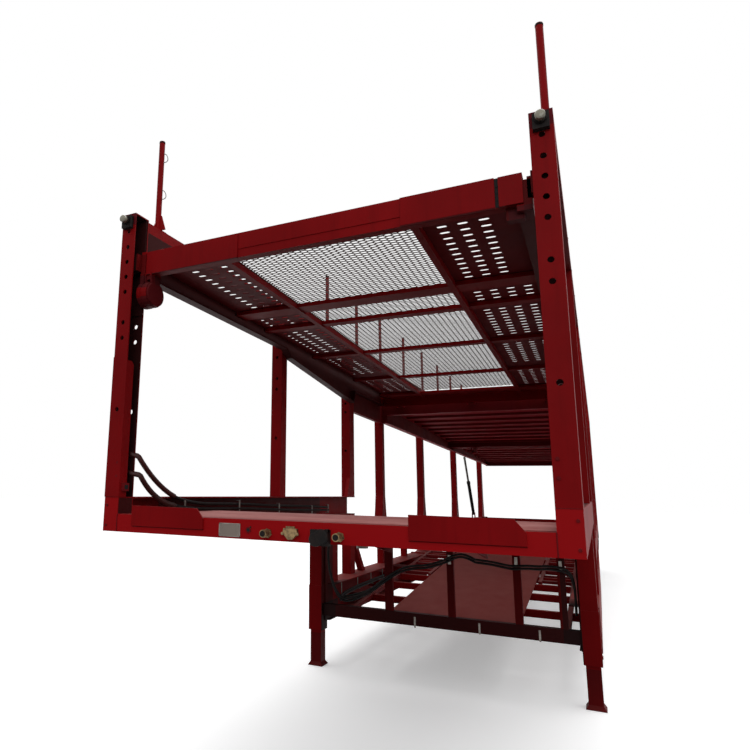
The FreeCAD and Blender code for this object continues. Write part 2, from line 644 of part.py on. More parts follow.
pieces = []
zs = TYRE_R + AXLE_R + 22
for s in (-1, 1):
    y0 = s * SPRING_Y - SPRING_W / 2
    y1 = s * SPRING_Y + SPRING_W / 2
    for d in AXLE_D:
        for k, half in enumerate((560, 470, 360, 240)):
            zt = zs + (3 - k) * 13
            pieces.append(bx(d - half, d + half, y0, y1, zt, zt + 13))
        for e in (-90, 70):
            pieces.append(bx(d + e, d + e + 20, y0 - 14, y1 + 14, zs - 20, zs + 66))
    ztop = zs + 52
    for d, w in ((AXLE_D[0] - 640, 110), (MID_AXLE - 75, 150), (AXLE_D[1] + 530, 110)):
        pieces.append(prism_y([(d, MAIN_BOT), (d + w, MAIN_BOT), (d + w - 20, zs - 10), (d + 20, zs - 10)],
                              y0 - 18, y0 - 8))
        pieces.append(prism_y([(d, MAIN_BOT), (d + w, MAIN_BOT), (d + w - 20, zs - 10), (d + 20, zs - 10)],
                              y1 + 8, y1 + 18))
        pieces.append(bx(d + w / 2 - 15, d + w / 2 + 15, y0 - 18, y1 + 18, zs + 10, zs + 40))
nodes["suspension"] = join(pieces)


def tyre_profile(yc):
    r = TYRE_R
    w = TYRE_W / 2
    pts = [(RIM_R, -w + 22), (RIM_R + 30, -w + 6), (RIM_R + 75, -w), (r - 42, -w + 6), (r, -w + 34),
           (r, w - 34), (r - 42, w - 6), (RIM_R + 75, w), (RIM_R + 30, w - 6), (RIM_R, w - 22)]
    return [(a, b + yc) for a, b in pts]


def turned(points, d, z, sides):
    """A ring of flat faces: the profile (radius, y) carried round an axis along y."""
    faces = []
    turns = [2 * math.pi * k / sides for k in range(sides + 1)]
    turns[-1] = 0.0
    for a0, a1 in zip(turns, turns[1:]):
        for (r0, y0), (r1, y1) in zip(points, points[1:] + points[:1]):
            corners = [V(X_FACE - d + r * math.sin(a), y, z - r * math.cos(a))
                       for r, y, a in ((r0, y0, a0), (r1, y1, a0), (r1, y1, a1), (r0, y0, a1))]
            faces.append(Part.Face(Part.makePolygon(corners + [corners[0]])))
    shell = Part.makeShell(faces)
    shell.sewShape()
    body = Part.Solid(shell)
    if body.Volume < 0:
        body.reverse()
    return body


def spun(points, d):
    return turned(points, d, TYRE_R, WHEEL_SIDES)


def wheel(d):
    tyres = Part.makeCompound([spun(tyre_profile(y), d) for y in TYRE_Y])
    yi, yo = TYRE_Y
    w = TYRE_W / 2 - 22
    disc_y = yo - 70
    rims = [spun([(RIM_IN_R, y - w), (RIM_R, y - w), (RIM_R, y + w), (RIM_IN_R, y + w)], d) for y in TYRE_Y]
    disc_o = spun([(80, disc_y - 8), (150, disc_y - 8), (RIM_IN_R + 4, disc_y + 28),
                   (RIM_IN_R + 4, disc_y + 42),
                   (145, disc_y + 4), (80, disc_y + 4)], d)
    disc_i = spun([(80, disc_y - 24), (145, disc_y - 24), (RIM_IN_R + 4, disc_y - 144),
                   (RIM_IN_R + 4, disc_y - 130),
                   (150, disc_y - 8), (80, disc_y - 8)], d)
    drum = spun([(80, yi - 70), (205, yi - 70), (205, yi + 62), (80, yi + 62)], d)
    hub = cyl_y(104, d, yi - 60, disc_y + 4, TYRE_R)
    nose = cyl_y(72, d, disc_y + 4, disc_y + 90, TYRE_R)
    nuts = []
    for k in range(10):
        a = 2 * math.pi * k / 10
        nut = [(d + 128 * math.cos(a) + p, TYRE_R + 128 * math.sin(a) + q) for p, q in ring_points(16, 6)]
        nuts.append(prism_y(nut, disc_y + 2, disc_y + 26))
    bore = cyl_y(40 + BEARING_GAP, d, yi - 80, disc_y + 100, TYRE_R)
    return tyres, join(rims + [disc_o, disc_i, drum, hub, nose] + nuts).cut(bore)


wheel_names = (("front_left", AXLE_D[0]), ("rear_left", AXLE_D[1]))
for name, d in wheel_names:
    tyres, rims = wheel(d)
    nodes["tyres_" + name] = tyres
    nodes["rims_" + name] = rims
    nodes["tyres_" + name.replace("left", "right")] = flip(tyres)
    nodes["rims_" + name.replace("left", "right")] = flip(rims)

# ================================================================ mudguards
guards = []
arc_r = TYRE_R + 62
for d in AXLE_D:
    turns = [math.radians(38 + 104 * k / 10) for k in range(11)]
    arch = [(d + (arc_r + 3) * math.cos(a), TYRE_R + (arc_r + 3) * math.sin(a)) for a in turns]
    arch += [(d + arc_r * math.cos(a), TYRE_R + arc_r * math.sin(a)) for a in reversed(turns)]
    guards.append(prism_y(arch, TYRE_Y[0] - 130, HALF))
    for y in (780.0, 1160.0):
        guards.append(bx(d - 30, d + 30, y, y + 50, TYRE_R + arc_r - 4, MAIN_TOP))
fender = join(guards)
nodes["mudguards"] = both(fender)

# ================================================================ rear end
rb0 = D_REAR - TAIL_BEAM
beam = bx(rb0, D_REAR, -HALF, HALF, 700, 1080)
reach = RAMP_W / 2 + 15
window = bx(rb0 - 1, D_REAR + 1, RAMP_Y - reach, RAMP_Y + reach, RAMP_BOT - 15, RAMP_BOT + RAMP_H + 15)
beam = beam.cut(bx(rb0 + 8, D_REAR - 8, -HALF + 8, HALF - 8, 708, 1072))
beam = beam.cut(window).cut(flip(window))
main_ext = []
for yy in (-MAIN_Y, MAIN_Y):
    main_ext.append(bx(MAIN_D1, rb0, yy - 5, yy + 5, 700, MAIN_TOP))
bumper = bx(D_REAR - 190, D_REAR - 110, -BUMPER_HALF, BUMPER_HALF, BUMPER_BOT, BUMPER_BOT + BUMPER_H)
hangers = [bx(D_REAR - 175, D_REAR - 115, s * 620 - 30, s * 620 + 30, BUMPER_BOT + BUMPER_H,
              705) for s in (-1, 1)]
shelf = bx(D_REAR - 190, rb0 + 8, -700, 700, 700, 708)
nodes["rear_beam"] = join([beam, bumper, shelf] + hangers + main_ext)

lamps = []
for s in (-1, 1):
    for y in (760, 900, 1040):
        face = V(X_FACE - D_REAR, s * y, 820)
        lamps.append(round_bar(55, face, face + V(-TAIL_LAMP_REACH, 0, 0), 24))
nodes["rear_lamps"] = Part.makeCompound(lamps)

# ================================================================ loading ramps


def ramp(yc):
    y0 = yc - RAMP_W / 2
    y1 = yc + RAMP_W / 2
    z0, z1 = RAMP_BOT, RAMP_BOT + RAMP_H
    rails = [bx(RAMP_D0, RAMP_D1, y, y + 40, z0, z1) for y in (y0, y1 - 40)]
    rungs = []
    k = RAMP_D0 + 60
    while k < RAMP_D1 - 60:
        rungs.append(bx(k, k + 45, y0, y1, z1 - 32, z1 - 4))
        k += 195
    hook = bx(RAMP_D1 - 30, RAMP_D1, y0, y1, z0 + 20, z1)
    return join(rails + rungs + [hook])


nodes["ramp_left"] = ramp(RAMP_Y)
nodes["ramp_right"] = flip(nodes["ramp_left"])

# ================================================================ front deck
rail_y0 = DECK_Y - DECK_RAIL_W
rail_pts = [(DECK_BEAM_D, 2960), (2050, 2928), (2150, 2862), (3800, 2668), (3850, 2806), (DECK_A_END, 2786),
            (DECK_A_END, deck_z(DECK_A_END) + 45), (DECK_BEAM_D, deck_z(DECK_BEAM_D) + 45)]
rail = prism_y(rail_pts, rail_y0, DECK_Y)
pocket = [(DECK_BEAM_D + 10, 2972), (2050, 2940), (2160, 2874), (3788, 2684), (3842, 2818),
          (DECK_A_END - 10, 2798),
          (DECK_A_END - 10, deck_z(DECK_A_END) + 35), (DECK_BEAM_D + 10, deck_z(DECK_BEAM_D) + 35)]
rail = rail.cut(prism_y(pocket, rail_y0 - 1, DECK_Y - 8))
beam = bx(DECK_BEAM_D, DECK_BEAM_D + DECK_BEAM_W, -DECK_Y, DECK_Y, DECK_BEAM_BOT, DECK_BEAM_TOP)
beam = beam.cut(bx(DECK_BEAM_D + 8, DECK_BEAM_D + DECK_BEAM_W, -rail_y0, rail_y0, DECK_BEAM_BOT + 8,
                   DECK_BEAM_TOP - 8))
tongue = bx(DECK_BEAM_D - 50, DECK_BEAM_D + 15, DECK_Y - 20, HALF - T - 14, DECK_BEAM_BOT + 22,
            DECK_BEAM_TOP - 22)
tongue = tongue.cut(bx(DECK_BEAM_D - 51, DECK_BEAM_D, 0, DECK_Y - 1, 0, 5000))
tongue_cut = bx(0, DECK_BEAM_D, 0, DECK_Y, 0, 5000)
tongue = tongue.cut(tongue_cut)
pieces = [rail, flip(rail), beam, tongue, flip(tongue)]
for d, w in DECK_A_CROSS:
    zt = deck_z(d + w) - 5
    bar = bx(d, d + w, -rail_y0 - 8, rail_y0 + 8, zt - 62, zt)
    bar = bar.cut(bx(d + 6, d + w - 6, -rail_y0 + 10, rail_y0 - 10, zt - 63, zt - 6))
    pieces.append(bar)
d0 = DECK_BEAM_D + DECK_BEAM_W - 4
for s in (-1, 1):
    y0, y1 = sorted((s * (MESH_HALF + 2), s * (TRACK2_IN - 2)))
    pieces.append(prism_y([(d0, deck_z(d0) - 46), (DECK_A_END, deck_z(DECK_A_END) - 46),
                           (DECK_A_END, deck_z(DECK_A_END) - 6), (d0, deck_z(d0) - 6)], y0, y1))
ha, hz = HINGE_A
pieces.append(bx(DECK_A_END - 8, DECK_A_END, -rail_y0 - 8, rail_y0 + 8, hz - 18, deck_z(DECK_A_END) - 6))
for y in (-900.0, 0.0, 900.0):
    ear = prism_y([(DECK_A_END - 6, hz - 18), (DECK_A_END - 6, hz + 60), (ha, hz + 24), (ha + 22, hz),
                   (ha, hz - 24)],
                  y - 30, y + 30)
    ear = ear.cut(cyl_y(HINGE_R + 0.5, ha, y - 31, y + 31, hz))
    pieces.append(ear)
pieces.append(bx(DECK_BEAM_D + 30, DECK_BEAM_D + 80, DECK_Y - 121, DECK_Y - 41, DECK_BEAM_BOT - 60,
                 DECK_BEAM_BOT + 8))
for y in (SHEAVE_Y - SHEAVE_W / 2 - 14, SHEAVE_Y + SHEAVE_W / 2 + 4):
    pieces.append(prism_y([(SHEAVE_D - 30, SHEAVE_Z - 30), (SHEAVE_D + 30, SHEAVE_Z - 30),
                           (SHEAVE_D + 50, DECK_BEAM_BOT + 8), (SHEAVE_D - 50, DECK_BEAM_BOT + 8)], y,
                          y + 10))
front_frame = join(pieces)
grooved = [(SHEAVE_R, SHEAVE_Y - SHEAVE_W / 2), (SHEAVE_R - 12, SHEAVE_Y),
           (SHEAVE_R, SHEAVE_Y + SHEAVE_W / 2),
           (12.0, SHEAVE_Y + SHEAVE_W / 2), (12.0, SHEAVE_Y - SHEAVE_W / 2)]
nodes["deck_sheave"] = turned(grooved, SHEAVE_D, SHEAVE_Z, SHEAVE_SIDES)
nodes["deck_sheave"] = join([nodes["deck_sheave"], round_bar(
    14.0, V(X_FACE - SHEAVE_D, SHEAVE_Y - SHEAVE_W / 2 - 4, SHEAVE_Z),
    V(X_FACE - SHEAVE_D, SHEAVE_Y + SHEAVE_W / 2 + 4, SHEAVE_Z), 12)])
nodes["front_deck_frame"] = front_frame

d1 = DECK_A_CROSS[-1][0]
sheet = prism_y([(d0, deck_z(d0) - 4), (d1, deck_z(d1) - 4), (d1, deck_z(d1)), (d0, deck_z(d0))],
                -MESH_HALF, MESH_HALF)
cell_d = (d1 - d0 - MESH_STRAND) / MESH_ROWS
cell_y = (2 * MESH_HALF - MESH_STRAND) / MESH_COLUMNS
openings = []
for row in range(MESH_ROWS):
    for column in range(MESH_COLUMNS):
        a = d0 + MESH_STRAND + row * cell_d
        b = -MESH_HALF + MESH_STRAND + column * cell_y
        openings.append(bx(a, a + cell_d - MESH_STRAND, b, b + cell_y - MESH_STRAND, deck_z(d1) - 50,
                           deck_z(d0) + 50))
nodes["front_deck_mesh"] = sheet.cut(openings)
track = prism_y([(d0, deck_z(d0) - 5), (DECK_A_END - 20, deck_z(DECK_A_END - 20) - 5),
                 (DECK_A_END - 20, deck_z(DECK_A_END - 20)), (d0, deck_z(d0))], TRACK2_IN, TRACK2_OUT)
nodes["front_deck_tracks"] = both(track)

# ================================================================ fixed middle deck


def solid_deck(d0, d1, half, girder_w):
    parts = []
    g_in = half - girder_w
    girder = prism_y([(d0, girder_z(d0)), (d1, girder_z(d1)), (d1, plate_z(d1) + 40),
                      (d0, plate_z(d0) + 40)],
                     g_in, half)
    girder = girder.cut(prism_y([(d0 + 10, girder_z(d0) + 10), (d1 - 10, girder_z(d1) + 10),
                                 (d1 - 10, plate_z(d1) + 30), (d0 + 10, plate_z(d0) + 30)], g_in - 1,
                                half - 8))
    parts += [girder, flip(girder)]
    parts.append(prism_y([(d0, plate_z(d0)), (d1, plate_z(d1)), (d1, plate_z(d1) + 5),
                          (d0, plate_z(d0) + 5)],
                         -half + 4, half - 4))
    count = int((d1 - d0 - 200) // RIB_PITCH)
    for k in range(count + 1):
        d = d0 + 110 + k * (d1 - d0 - 220 - RIB_W) / count
        z0 = plate_z(d + RIB_W) - RIB_H
        rib = [(d, plate_z(d) + 1), (d + 12, z0), (d + RIB_W - 12, z0), (d + RIB_W, plate_z(d + RIB_W) + 1)]
        parts.append(prism_y(rib, -g_in - 8, g_in + 8))
    return parts


pieces = solid_deck(MID_D0, MID_D1, POST_IN, 75.0)
p3_back = SIDE_POSTS[1][1] + SIDE_POSTS[1][2]
fore = prism_y([(p3_back, 2588), (MID_D0 + 10, girder_z(MID_D0)), (MID_D0 + 10, 2870), (p3_back, 2900)],
               POST_IN, POST_IN + 50)
pieces += [fore, flip(fore)]
pieces.append(bx(MID_D0, MID_D0 + 80, -POST_IN + 8, POST_IN - 8, plate_z(MID_D0) - 130,
                 plate_z(MID_D0 + 80)))
pieces.append(bx(MID_D1 - 80, MID_D1, -POST_IN + 8, POST_IN - 8, plate_z(MID_D1) - 110, plate_z(MID_D1)))
for y in (-900.0, 0.0, 900.0):
    for e in (-52.0, 36.0):
        pieces.append(prism_y([(MID_D0 + 2, hz - 30), (MID_D0 + 2, hz + 5), (ha, hz + 22), (ha - 20, hz),
                               (ha, hz - 22)],
                              y + e, y + e + 16))
    pieces.append(cyl_y(HINGE_R, ha, y - 52, y + 52, hz))
hc, hcz = HINGE_C
for y in (-700.0, 700.0):
    for e in (-52.0, 36.0):
        pieces.append(prism_y([(MID_D1 - 60, hcz - 24), (hc, hcz - 24), (hc + 20, hcz), (hc, hcz + 24),
                               (MID_D1 - 60, plate_z(MID_D1) - 20)], y + e, y + e + 16))
    pieces.append(cyl_y(HINGE_R, hc, y - 52, y + 52, hcz))
nodes["mid_deck"] = join(pieces)

# ================================================================ rear deck, hinged
pieces = solid_deck(REAR_D0, REAR_D1, DECK_Y, 70.0)
zf = plate_z(REAR_D0)
pieces.append(bx(REAR_D0 + 20, REAR_D0 + 90, -DECK_Y + 8, DECK_Y - 8, zf - 120, plate_z(REAR_D0 + 90)))
pieces.append(bx(REAR_D1 - 90, REAR_D1, -DECK_Y + 8, DECK_Y - 8, 2362, plate_z(REAR_D1)))
for y in (-700.0, 700.0):
    arm = prism_y([(hc - 22, hcz), (hc, hcz + 24), (REAR_D0 + 60, zf - 60), (REAR_D0 + 60, hcz - 24),
                   (hc, hcz - 24)], y - 30, y + 30)
    arm = arm.cut(cyl_y(HINGE_R + 0.5, hc, y - 31, y + 31, hcz))
    pieces.append(arm)
head_d, head_z = CYL_HEAD
for s in (-1, 1):
    y0, y1 = sorted((s * (DECK_Y - 4), s * (DECK_Y + 9)))
    pieces.append(cyl_y(30, head_d, y0, y1, head_z + 35))
nodes["rear_deck"] = join(pieces)

# ================================================================ lift cylinders
foot_d, foot_z = CYL_FOOT
ax_x = foot_d - head_d
ax_z = head_z - foot_z
ax_len = math.hypot(ax_x, ax_z)
u = V(ax_x / ax_len, 0, ax_z / ax_len)


def along(s, y=CYL_Y):
    return V(X_FACE - foot_d + u.x * s, y, foot_z + u.z * s)


eye = cyl_y(EYE_R, foot_d, CYL_Y - EYE_W / 2, CYL_Y + EYE_W / 2, foot_z)
neck = round_bar(EYE_W / 2 - 3, along(0), along(NECK_LEN + 10))
tube = round_bar(CYL_R, along(NECK_LEN), along(CYL_LEN), 24)
gland = round_bar(CYL_R + 5, along(CYL_LEN - 50), along(CYL_LEN), 24)
barrel = join([eye, neck, tube, gland])
barrel = barrel.cut(round_bar(CYL_BORE, along(90), along(CYL_LEN - 40), 24))
barrel = barrel.cut(round_bar(ROD_R + 2.0, along(CYL_LEN - 100), along(CYL_LEN + 100), 24))
barrel = barrel.cut(cyl_y(PIN_R + 0.5, foot_d, CYL_Y - 60, CYL_Y + 60, foot_z))
nodes["cylinder_left"] = barrel
nodes["cylinder_right"] = flip(barrel)
rod = round_bar(ROD_R, along(ROD_START), along(ax_len), 24)
rod_eye = Part.makeCylinder(EYE_R - 4, EYE_W - 6, along(ax_len, CYL_Y - EYE_W / 2 + 3), V(0, 1, 0))
rod_pin = Part.makeCylinder(PIN_R - 2, EYE_W + 8, along(ax_len, CYL_Y - EYE_W / 2 - 4), V(0, 1, 0))
nodes["rod_left"] = join([rod, rod_eye, rod_pin])
nodes["rod_right"] = flip(nodes["rod_left"])

# ================================================================ fittings at the front
pieces = []
for y0, y1, cut in ((-1055.0, -560.0, 1), (560.0, 1057.0, 1)):
    a = 46.0
    pts = [(y0, BEAM_TOP - 62), (y1, BEAM_TOP - 62), (y1, BEAM_TOP - 6), (y1 - a, BEAM_TOP + 48),
           (y0, BEAM_TOP + 52)]
    pieces.append(prism_x(pts, -10, 0))
nodes["flap_plates"] = Part.makeCompound(pieces)
COUPLING_Z = 1437.0
LABEL_Y, LABEL_W, LABEL_H = -394.0, 130.0, 69.0
nodes["front_label_plate"] = bx(-3, 0, LABEL_Y - LABEL_W / 2, LABEL_Y + LABEL_W / 2,
                                COUPLING_Z - LABEL_H / 2 + 6,
                                COUPLING_Z + LABEL_H / 2 + 6)

brass = []
for y in (-165.0, 226.0):
    face = V(X_FACE, y, COUPLING_Z)
    base = round_bar(20, face, face + V(12, 0, 0))
    body = round_bar(15, face, face + V(40, 0, 0))
    brass.append(join([base, body]))
poly = [(-30 + 50 * math.sin(math.radians(72 * k)), COUPLING_Z + 6 + 36 * math.cos(math.radians(72 * k)))
        for k in range(5)]
plug = prism_x(poly, -28, 0)
brass.append(plug)
nodes["brake_and_cable_couplings"] = Part.makeCompound(brass)
cap = bx(-36, 0, 84, 178, 1392, 1468)
nodes["coupling_cover"] = cap

lamp = bx(-48, 0, HALF - 92, HALF - 12, POST_TOP - 98, POST_TOP - 26)
lamp = lamp.makeChamfer(16, [e for e in lamp.Edges if abs(e.BoundBox.XLength - 48) < 0.01])
lens_at = V(X_FACE, HALF - 52, POST_TOP - 56)
lens = round_bar(27, lens_at, lens_at + V(LAMP_REACH, 0, 0), 24)
lamp = join([lamp, lens])
nodes["marker_lamps"] = both(lamp)

# ================================================================ air tanks under the rear floor
tanks = []
for s in (-1, 1):
    ends = ((TANK_D0, TANK_D0 + 40), (TANK_D1, TANK_D1 - 40))
    body = prism_x([(s * TANK_Y + a, TANK_Z + b) for a, b in ring_points(TANK_R, TANK_SIDES)], ends[0][1],
                   ends[1][1])
    for tip, root in ends:
        wires = []
        for d, r in ((root, TANK_R), (tip, TANK_R - 45)):
            pts = [V(X_FACE - d, s * TANK_Y + a, TANK_Z + b) for a, b in ring_points(r, TANK_SIDES)]
            wires.append(Part.makePolygon(pts + [pts[0]]))
        body = body.fuse(Part.makeLoft(wires, True, True))
    tanks.append(body)
nodes["air_tanks"] = Part.makeCompound(tanks)

# ================================================================ air lines clipped to the right side
LINE_R = 9.0
RAIL_SIDE = -POST_IN + LINE_R + 3
LOW_SIDE = -PLATE_HALF - 15
STEP_FRONT = GOOSE_END - 25
UPPER_LINE = (
    # d, y, z
    (POST_D + 20, RAIL_SIDE, 1839.0), (POST_D + 160, RAIL_SIDE, 1700.0), (634.0, RAIL_SIDE, 1550.0),
    (1370.0, RAIL_SIDE, 1545.0), (2054.0, RAIL_SIDE, 1520.0), (2725.0, RAIL_SIDE, 1509.0),
    (3165.0, RAIL_SIDE, 1490.0),
)
SECOND_LINE = (
    (POST_D + 20, RAIL_SIDE + 20, 1724.0), (POST_D + 140, RAIL_SIDE + 20, 1590.0),
               (634.0, RAIL_SIDE + 8, 1516.0),
    (1370.0, RAIL_SIDE + 8, 1511.0), (2054.0, RAIL_SIDE + 8, 1486.0), (2725.0, RAIL_SIDE + 8, 1470.0),
    (3165.0, RAIL_SIDE + 8, 1462.0),
)
CROSS_LINE = (
    # from under the gooseneck across the step frame to the right lower rail
    (STEP_FRONT, 105.0, 1082.0), (STEP_FRONT, 28.0, 1044.0), (STEP_FRONT, -108.0, 1000.0),
    (STEP_FRONT, -228.0, 991.0), (STEP_FRONT, -341.0, 957.0), (STEP_FRONT, -437.0, 896.0),
    (STEP_FRONT, -535.0, 826.0), (STEP_FRONT + 15, -634.0, 746.0), (STEP_FRONT + 75, -800.0, 680.0),
    (STEP_FRONT + 145, -964.0, 634.0), (FLOOR_D0 + 140, LOW_SIDE, 596.0), (3500.0, LOW_SIDE, 656.0),
    (4700.0, LOW_SIDE, 657.0),
)
LEFT_LINE = (
    # sags between the uprights of the step frame and goes down beside the left leg
    (STEP_FRONT, 330.0, 1082.0), (STEP_FRONT, 460.0, 1074.0), (STEP_FRONT, 540.0, 1060.0),
    (STEP_FRONT, 644.0, 1044.0), (STEP_FRONT, 741.0, 1060.0), (STEP_FRONT, 834.0, 1058.0),
    (STEP_FRONT, 919.0, 1068.0), (STEP_FRONT, 1040.0, 1058.0), (STEP_FRONT + 15, 1085.0, 1020.0),
    (STEP_FRONT + 45, 1104.0, 940.0), (STEP_FRONT + 70, 1106.0, 840.0), (STEP_FRONT + 110, 1102.0, 700.0),
)
LINES = (UPPER_LINE, SECOND_LINE, CROSS_LINE, LEFT_LINE)
nodes["air_lines"] = Part.makeCompound([hose(points, LINE_R) for points in LINES])

# ================================================================ fit neighbours face to face
ORDER = [
    "chassis", "well_frame", "waist_rails", "lower_side_frames", "side_uprights", "gooseneck_frame",
         "gooseneck_floor", "king_pin",
    "front_post_left", "front_post_right", "step_frame", "side_posts", "cant_rails", "mid_deck",
         "lower_floor",
    "ladder_tracks", "rear_beam", "axles", "suspension", "mudguards", "landing_legs", "air_tanks",
]
for i, name in enumerate(ORDER):
    for other in ORDER[:i]:
        a, b = nodes[name], nodes[other]
        if a.BoundBox.intersect(b.BoundBox):
            c = a.common(b)
            if c.Volume > 1.0:
                nodes[name] = a.cut(b)

for name, shape in nodes.items():
    solids = [s for s in shape.Solids if s.Volume > 500.0]
    out = Part.makeCompound(solids)
    out.exportStep("parts/" + name + ".step")
    bb = out.BoundBox
    print(name, len(solids), round(out.Volume / 1e6, 2), "l", out.isValid(),
          [round(v) for v in (bb.XMin, bb.XMax, bb.YMin, bb.YMax, bb.ZMin, bb.ZMax)])
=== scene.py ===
"""Looks, light and camera for a two-deck car transporter semi-trailer, in metres in its solids' frame."""

import json
import math

import bpy
from mathutils import Matrix, Vector


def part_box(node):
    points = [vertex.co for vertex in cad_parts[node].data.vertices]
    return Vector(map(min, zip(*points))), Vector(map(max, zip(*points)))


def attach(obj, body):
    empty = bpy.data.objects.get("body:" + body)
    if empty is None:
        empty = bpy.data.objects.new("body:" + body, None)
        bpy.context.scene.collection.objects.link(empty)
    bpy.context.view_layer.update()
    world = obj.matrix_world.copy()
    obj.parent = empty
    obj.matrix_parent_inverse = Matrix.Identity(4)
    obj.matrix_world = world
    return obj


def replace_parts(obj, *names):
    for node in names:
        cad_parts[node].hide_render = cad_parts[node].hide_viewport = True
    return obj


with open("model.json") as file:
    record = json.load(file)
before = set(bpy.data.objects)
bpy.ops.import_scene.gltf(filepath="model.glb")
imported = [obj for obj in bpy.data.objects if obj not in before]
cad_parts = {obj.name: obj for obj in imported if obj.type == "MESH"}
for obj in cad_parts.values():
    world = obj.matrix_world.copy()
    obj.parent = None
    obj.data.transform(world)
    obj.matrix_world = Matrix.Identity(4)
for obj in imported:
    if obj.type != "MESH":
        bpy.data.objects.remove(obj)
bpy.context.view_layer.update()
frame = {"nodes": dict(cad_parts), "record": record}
nodes = frame["nodes"]

# ------------------------------------------------------------------ places taken from the solids
FACE_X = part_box("front_post_left")[1][0]
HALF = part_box("front_post_left")[1][1]         # half the trailer's width
POST_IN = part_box("front_post_left")[0][1]      # inner side of the front posts
POST_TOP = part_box("front_post_left")[1][2]
BEAM_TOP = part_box("gooseneck_floor")[1][2]
DECK_LO, DECK_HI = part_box("front_deck_mesh")
TRACK_LO, TRACK_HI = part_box("front_deck_tracks")

RIGHT, LEFT = -1, 1     # the right side of the trailer is -y
AHEAD, ACROSS, UPWARD = (1, 0, 0), (0, 1, 0), (0, 0, 1)


def at(d):
    """X of a place d metres behind the front face of the front posts."""
    return FACE_X - d


# ------------------------------------------------------------------ node trees


class Tree:
    """Short names for building a node tree."""

    def __init__(self, tree):
        self.t = tree

    def add(self, kind, **values):
        n = self.t.nodes.new(kind)
        for k, v in values.items():
            if k in n.inputs:
                n.inputs[k].default_value = v
            else:
                setattr(n, k, v)
        return n

    def link(self, a, b):
        self.t.links.new(a, b)

    def feed(self, socket, value):
        """Gives a socket a number, a colour or what another node puts out."""
        if isinstance(value, (int, float)):
            socket.default_value = value
        elif isinstance(value, tuple):
            socket.default_value = (*value, 1)
        else:
            self.link(value, socket)

    def ramp(self, src, stops):
        """Grey levels or colours at rising positions, with straight lines between them."""
        r = self.add("ShaderNodeValToRGB")
        e = r.color_ramp.elements
        while len(e) < len(stops):
            e.new(0.5)
        for el, (pos, col) in zip(e, stops):
            el.position = pos
            el.color = (col, col, col, 1) if isinstance(col, (int, float)) else (*col, 1)
        self.link(src, r.inputs["Fac"])
        return r.outputs["Color"]

    def mix(self, fac, a, b):
        m = self.add("ShaderNodeMix", data_type="RGBA")
        for k, value in ((0, fac), (6, a), (7, b)):
            self.feed(m.inputs[k], value)
        return m.outputs[2]

    def math(self, op, *values):
        m = self.add("ShaderNodeMath", operation=op)
        for socket, value in zip(m.inputs, values):
            self.feed(socket, value)
        return m.outputs[0]

    def split(self, vector):
        """The x, y and z of a vector."""
        parts = self.add("ShaderNodeSeparateXYZ")
        self.link(vector, parts.inputs[0])
        return parts.outputs

    def seen(self, pale, plain):
        """pale for what the camera, gloss and glass see, plain for the light that bounces."""
        rays = self.add("ShaderNodeLightPath").outputs
        direct = self.math("MAXIMUM", rays["Is Camera Ray"],
                           self.math("MAXIMUM", rays["Is Glossy Ray"], rays["Is Transmission Ray"]))
        return self.mix(direct, plain, pale)


class Material(Tree):
    """The node tree of a new material, in the object's coordinates."""

    def __init__(self, name):
        self.mat = bpy.data.materials.new(name)
        self.mat.use_nodes = True
        super().__init__(self.mat.node_tree)
        self.bsdf = self.t.nodes["Principled BSDF"]
        self.obj = self.add("ShaderNodeTexCoord").outputs["Object"]

    def surface(self, values):
        """Feeds the inputs of the surface, given by their names."""
        for name, value in values.items():
            self.feed(self.bsdf.inputs[name], value)

    def noise(self, scale, detail=4.0, rough=0.55, stretch=None):
        n = self.add("ShaderNodeTexNoise", Scale=scale, Detail=detail, Roughness=rough)
        src = self.obj
        if stretch:
            m = self.add("ShaderNodeMapping", Scale=stretch)
            self.link(src, m.inputs["Vector"])
            src = m.outputs["Vector"]
        self.link(src, n.inputs["Vector"])
        return n.outputs["Fac"]

    def normal_z(self):
        """1 on faces that look up, -1 on faces that look down."""
        return self.split(self.add("ShaderNodeNewGeometry").outputs["Normal"])[2]

    def within(self, lo, hi):
        """1 inside a box given by x, the distance from the middle, and z."""
        x, y, z = self.split(self.obj)
        near = [self.math("COMPARE", value, (a + b) / 2, abs(b - a) / 2)
                for value, a, b in zip((x, self.math("ABSOLUTE", y), z), lo, hi)]
        return self.math("MULTIPLY", self.math("MULTIPLY", near[0], near[1]), near[2])

    def bump(self, src, strength, distance):
        b = self.add("ShaderNodeBump", Strength=strength, Distance=distance)
        self.link(src, b.inputs["Height"])
        self.link(b.outputs["Normal"], self.bsdf.inputs["Normal"])


# ------------------------------------------------------------------ kinds of material
RUST = (0.085, 0.032, 0.02)
PAINT_GLOSS = 0.05
DIRT_ROUGH = 0.85
STREAKS = (9.0, 9.0, 0.9)      # noise drawn out along z, as rain leaves it


def grey(level):
    return (level,) * 3


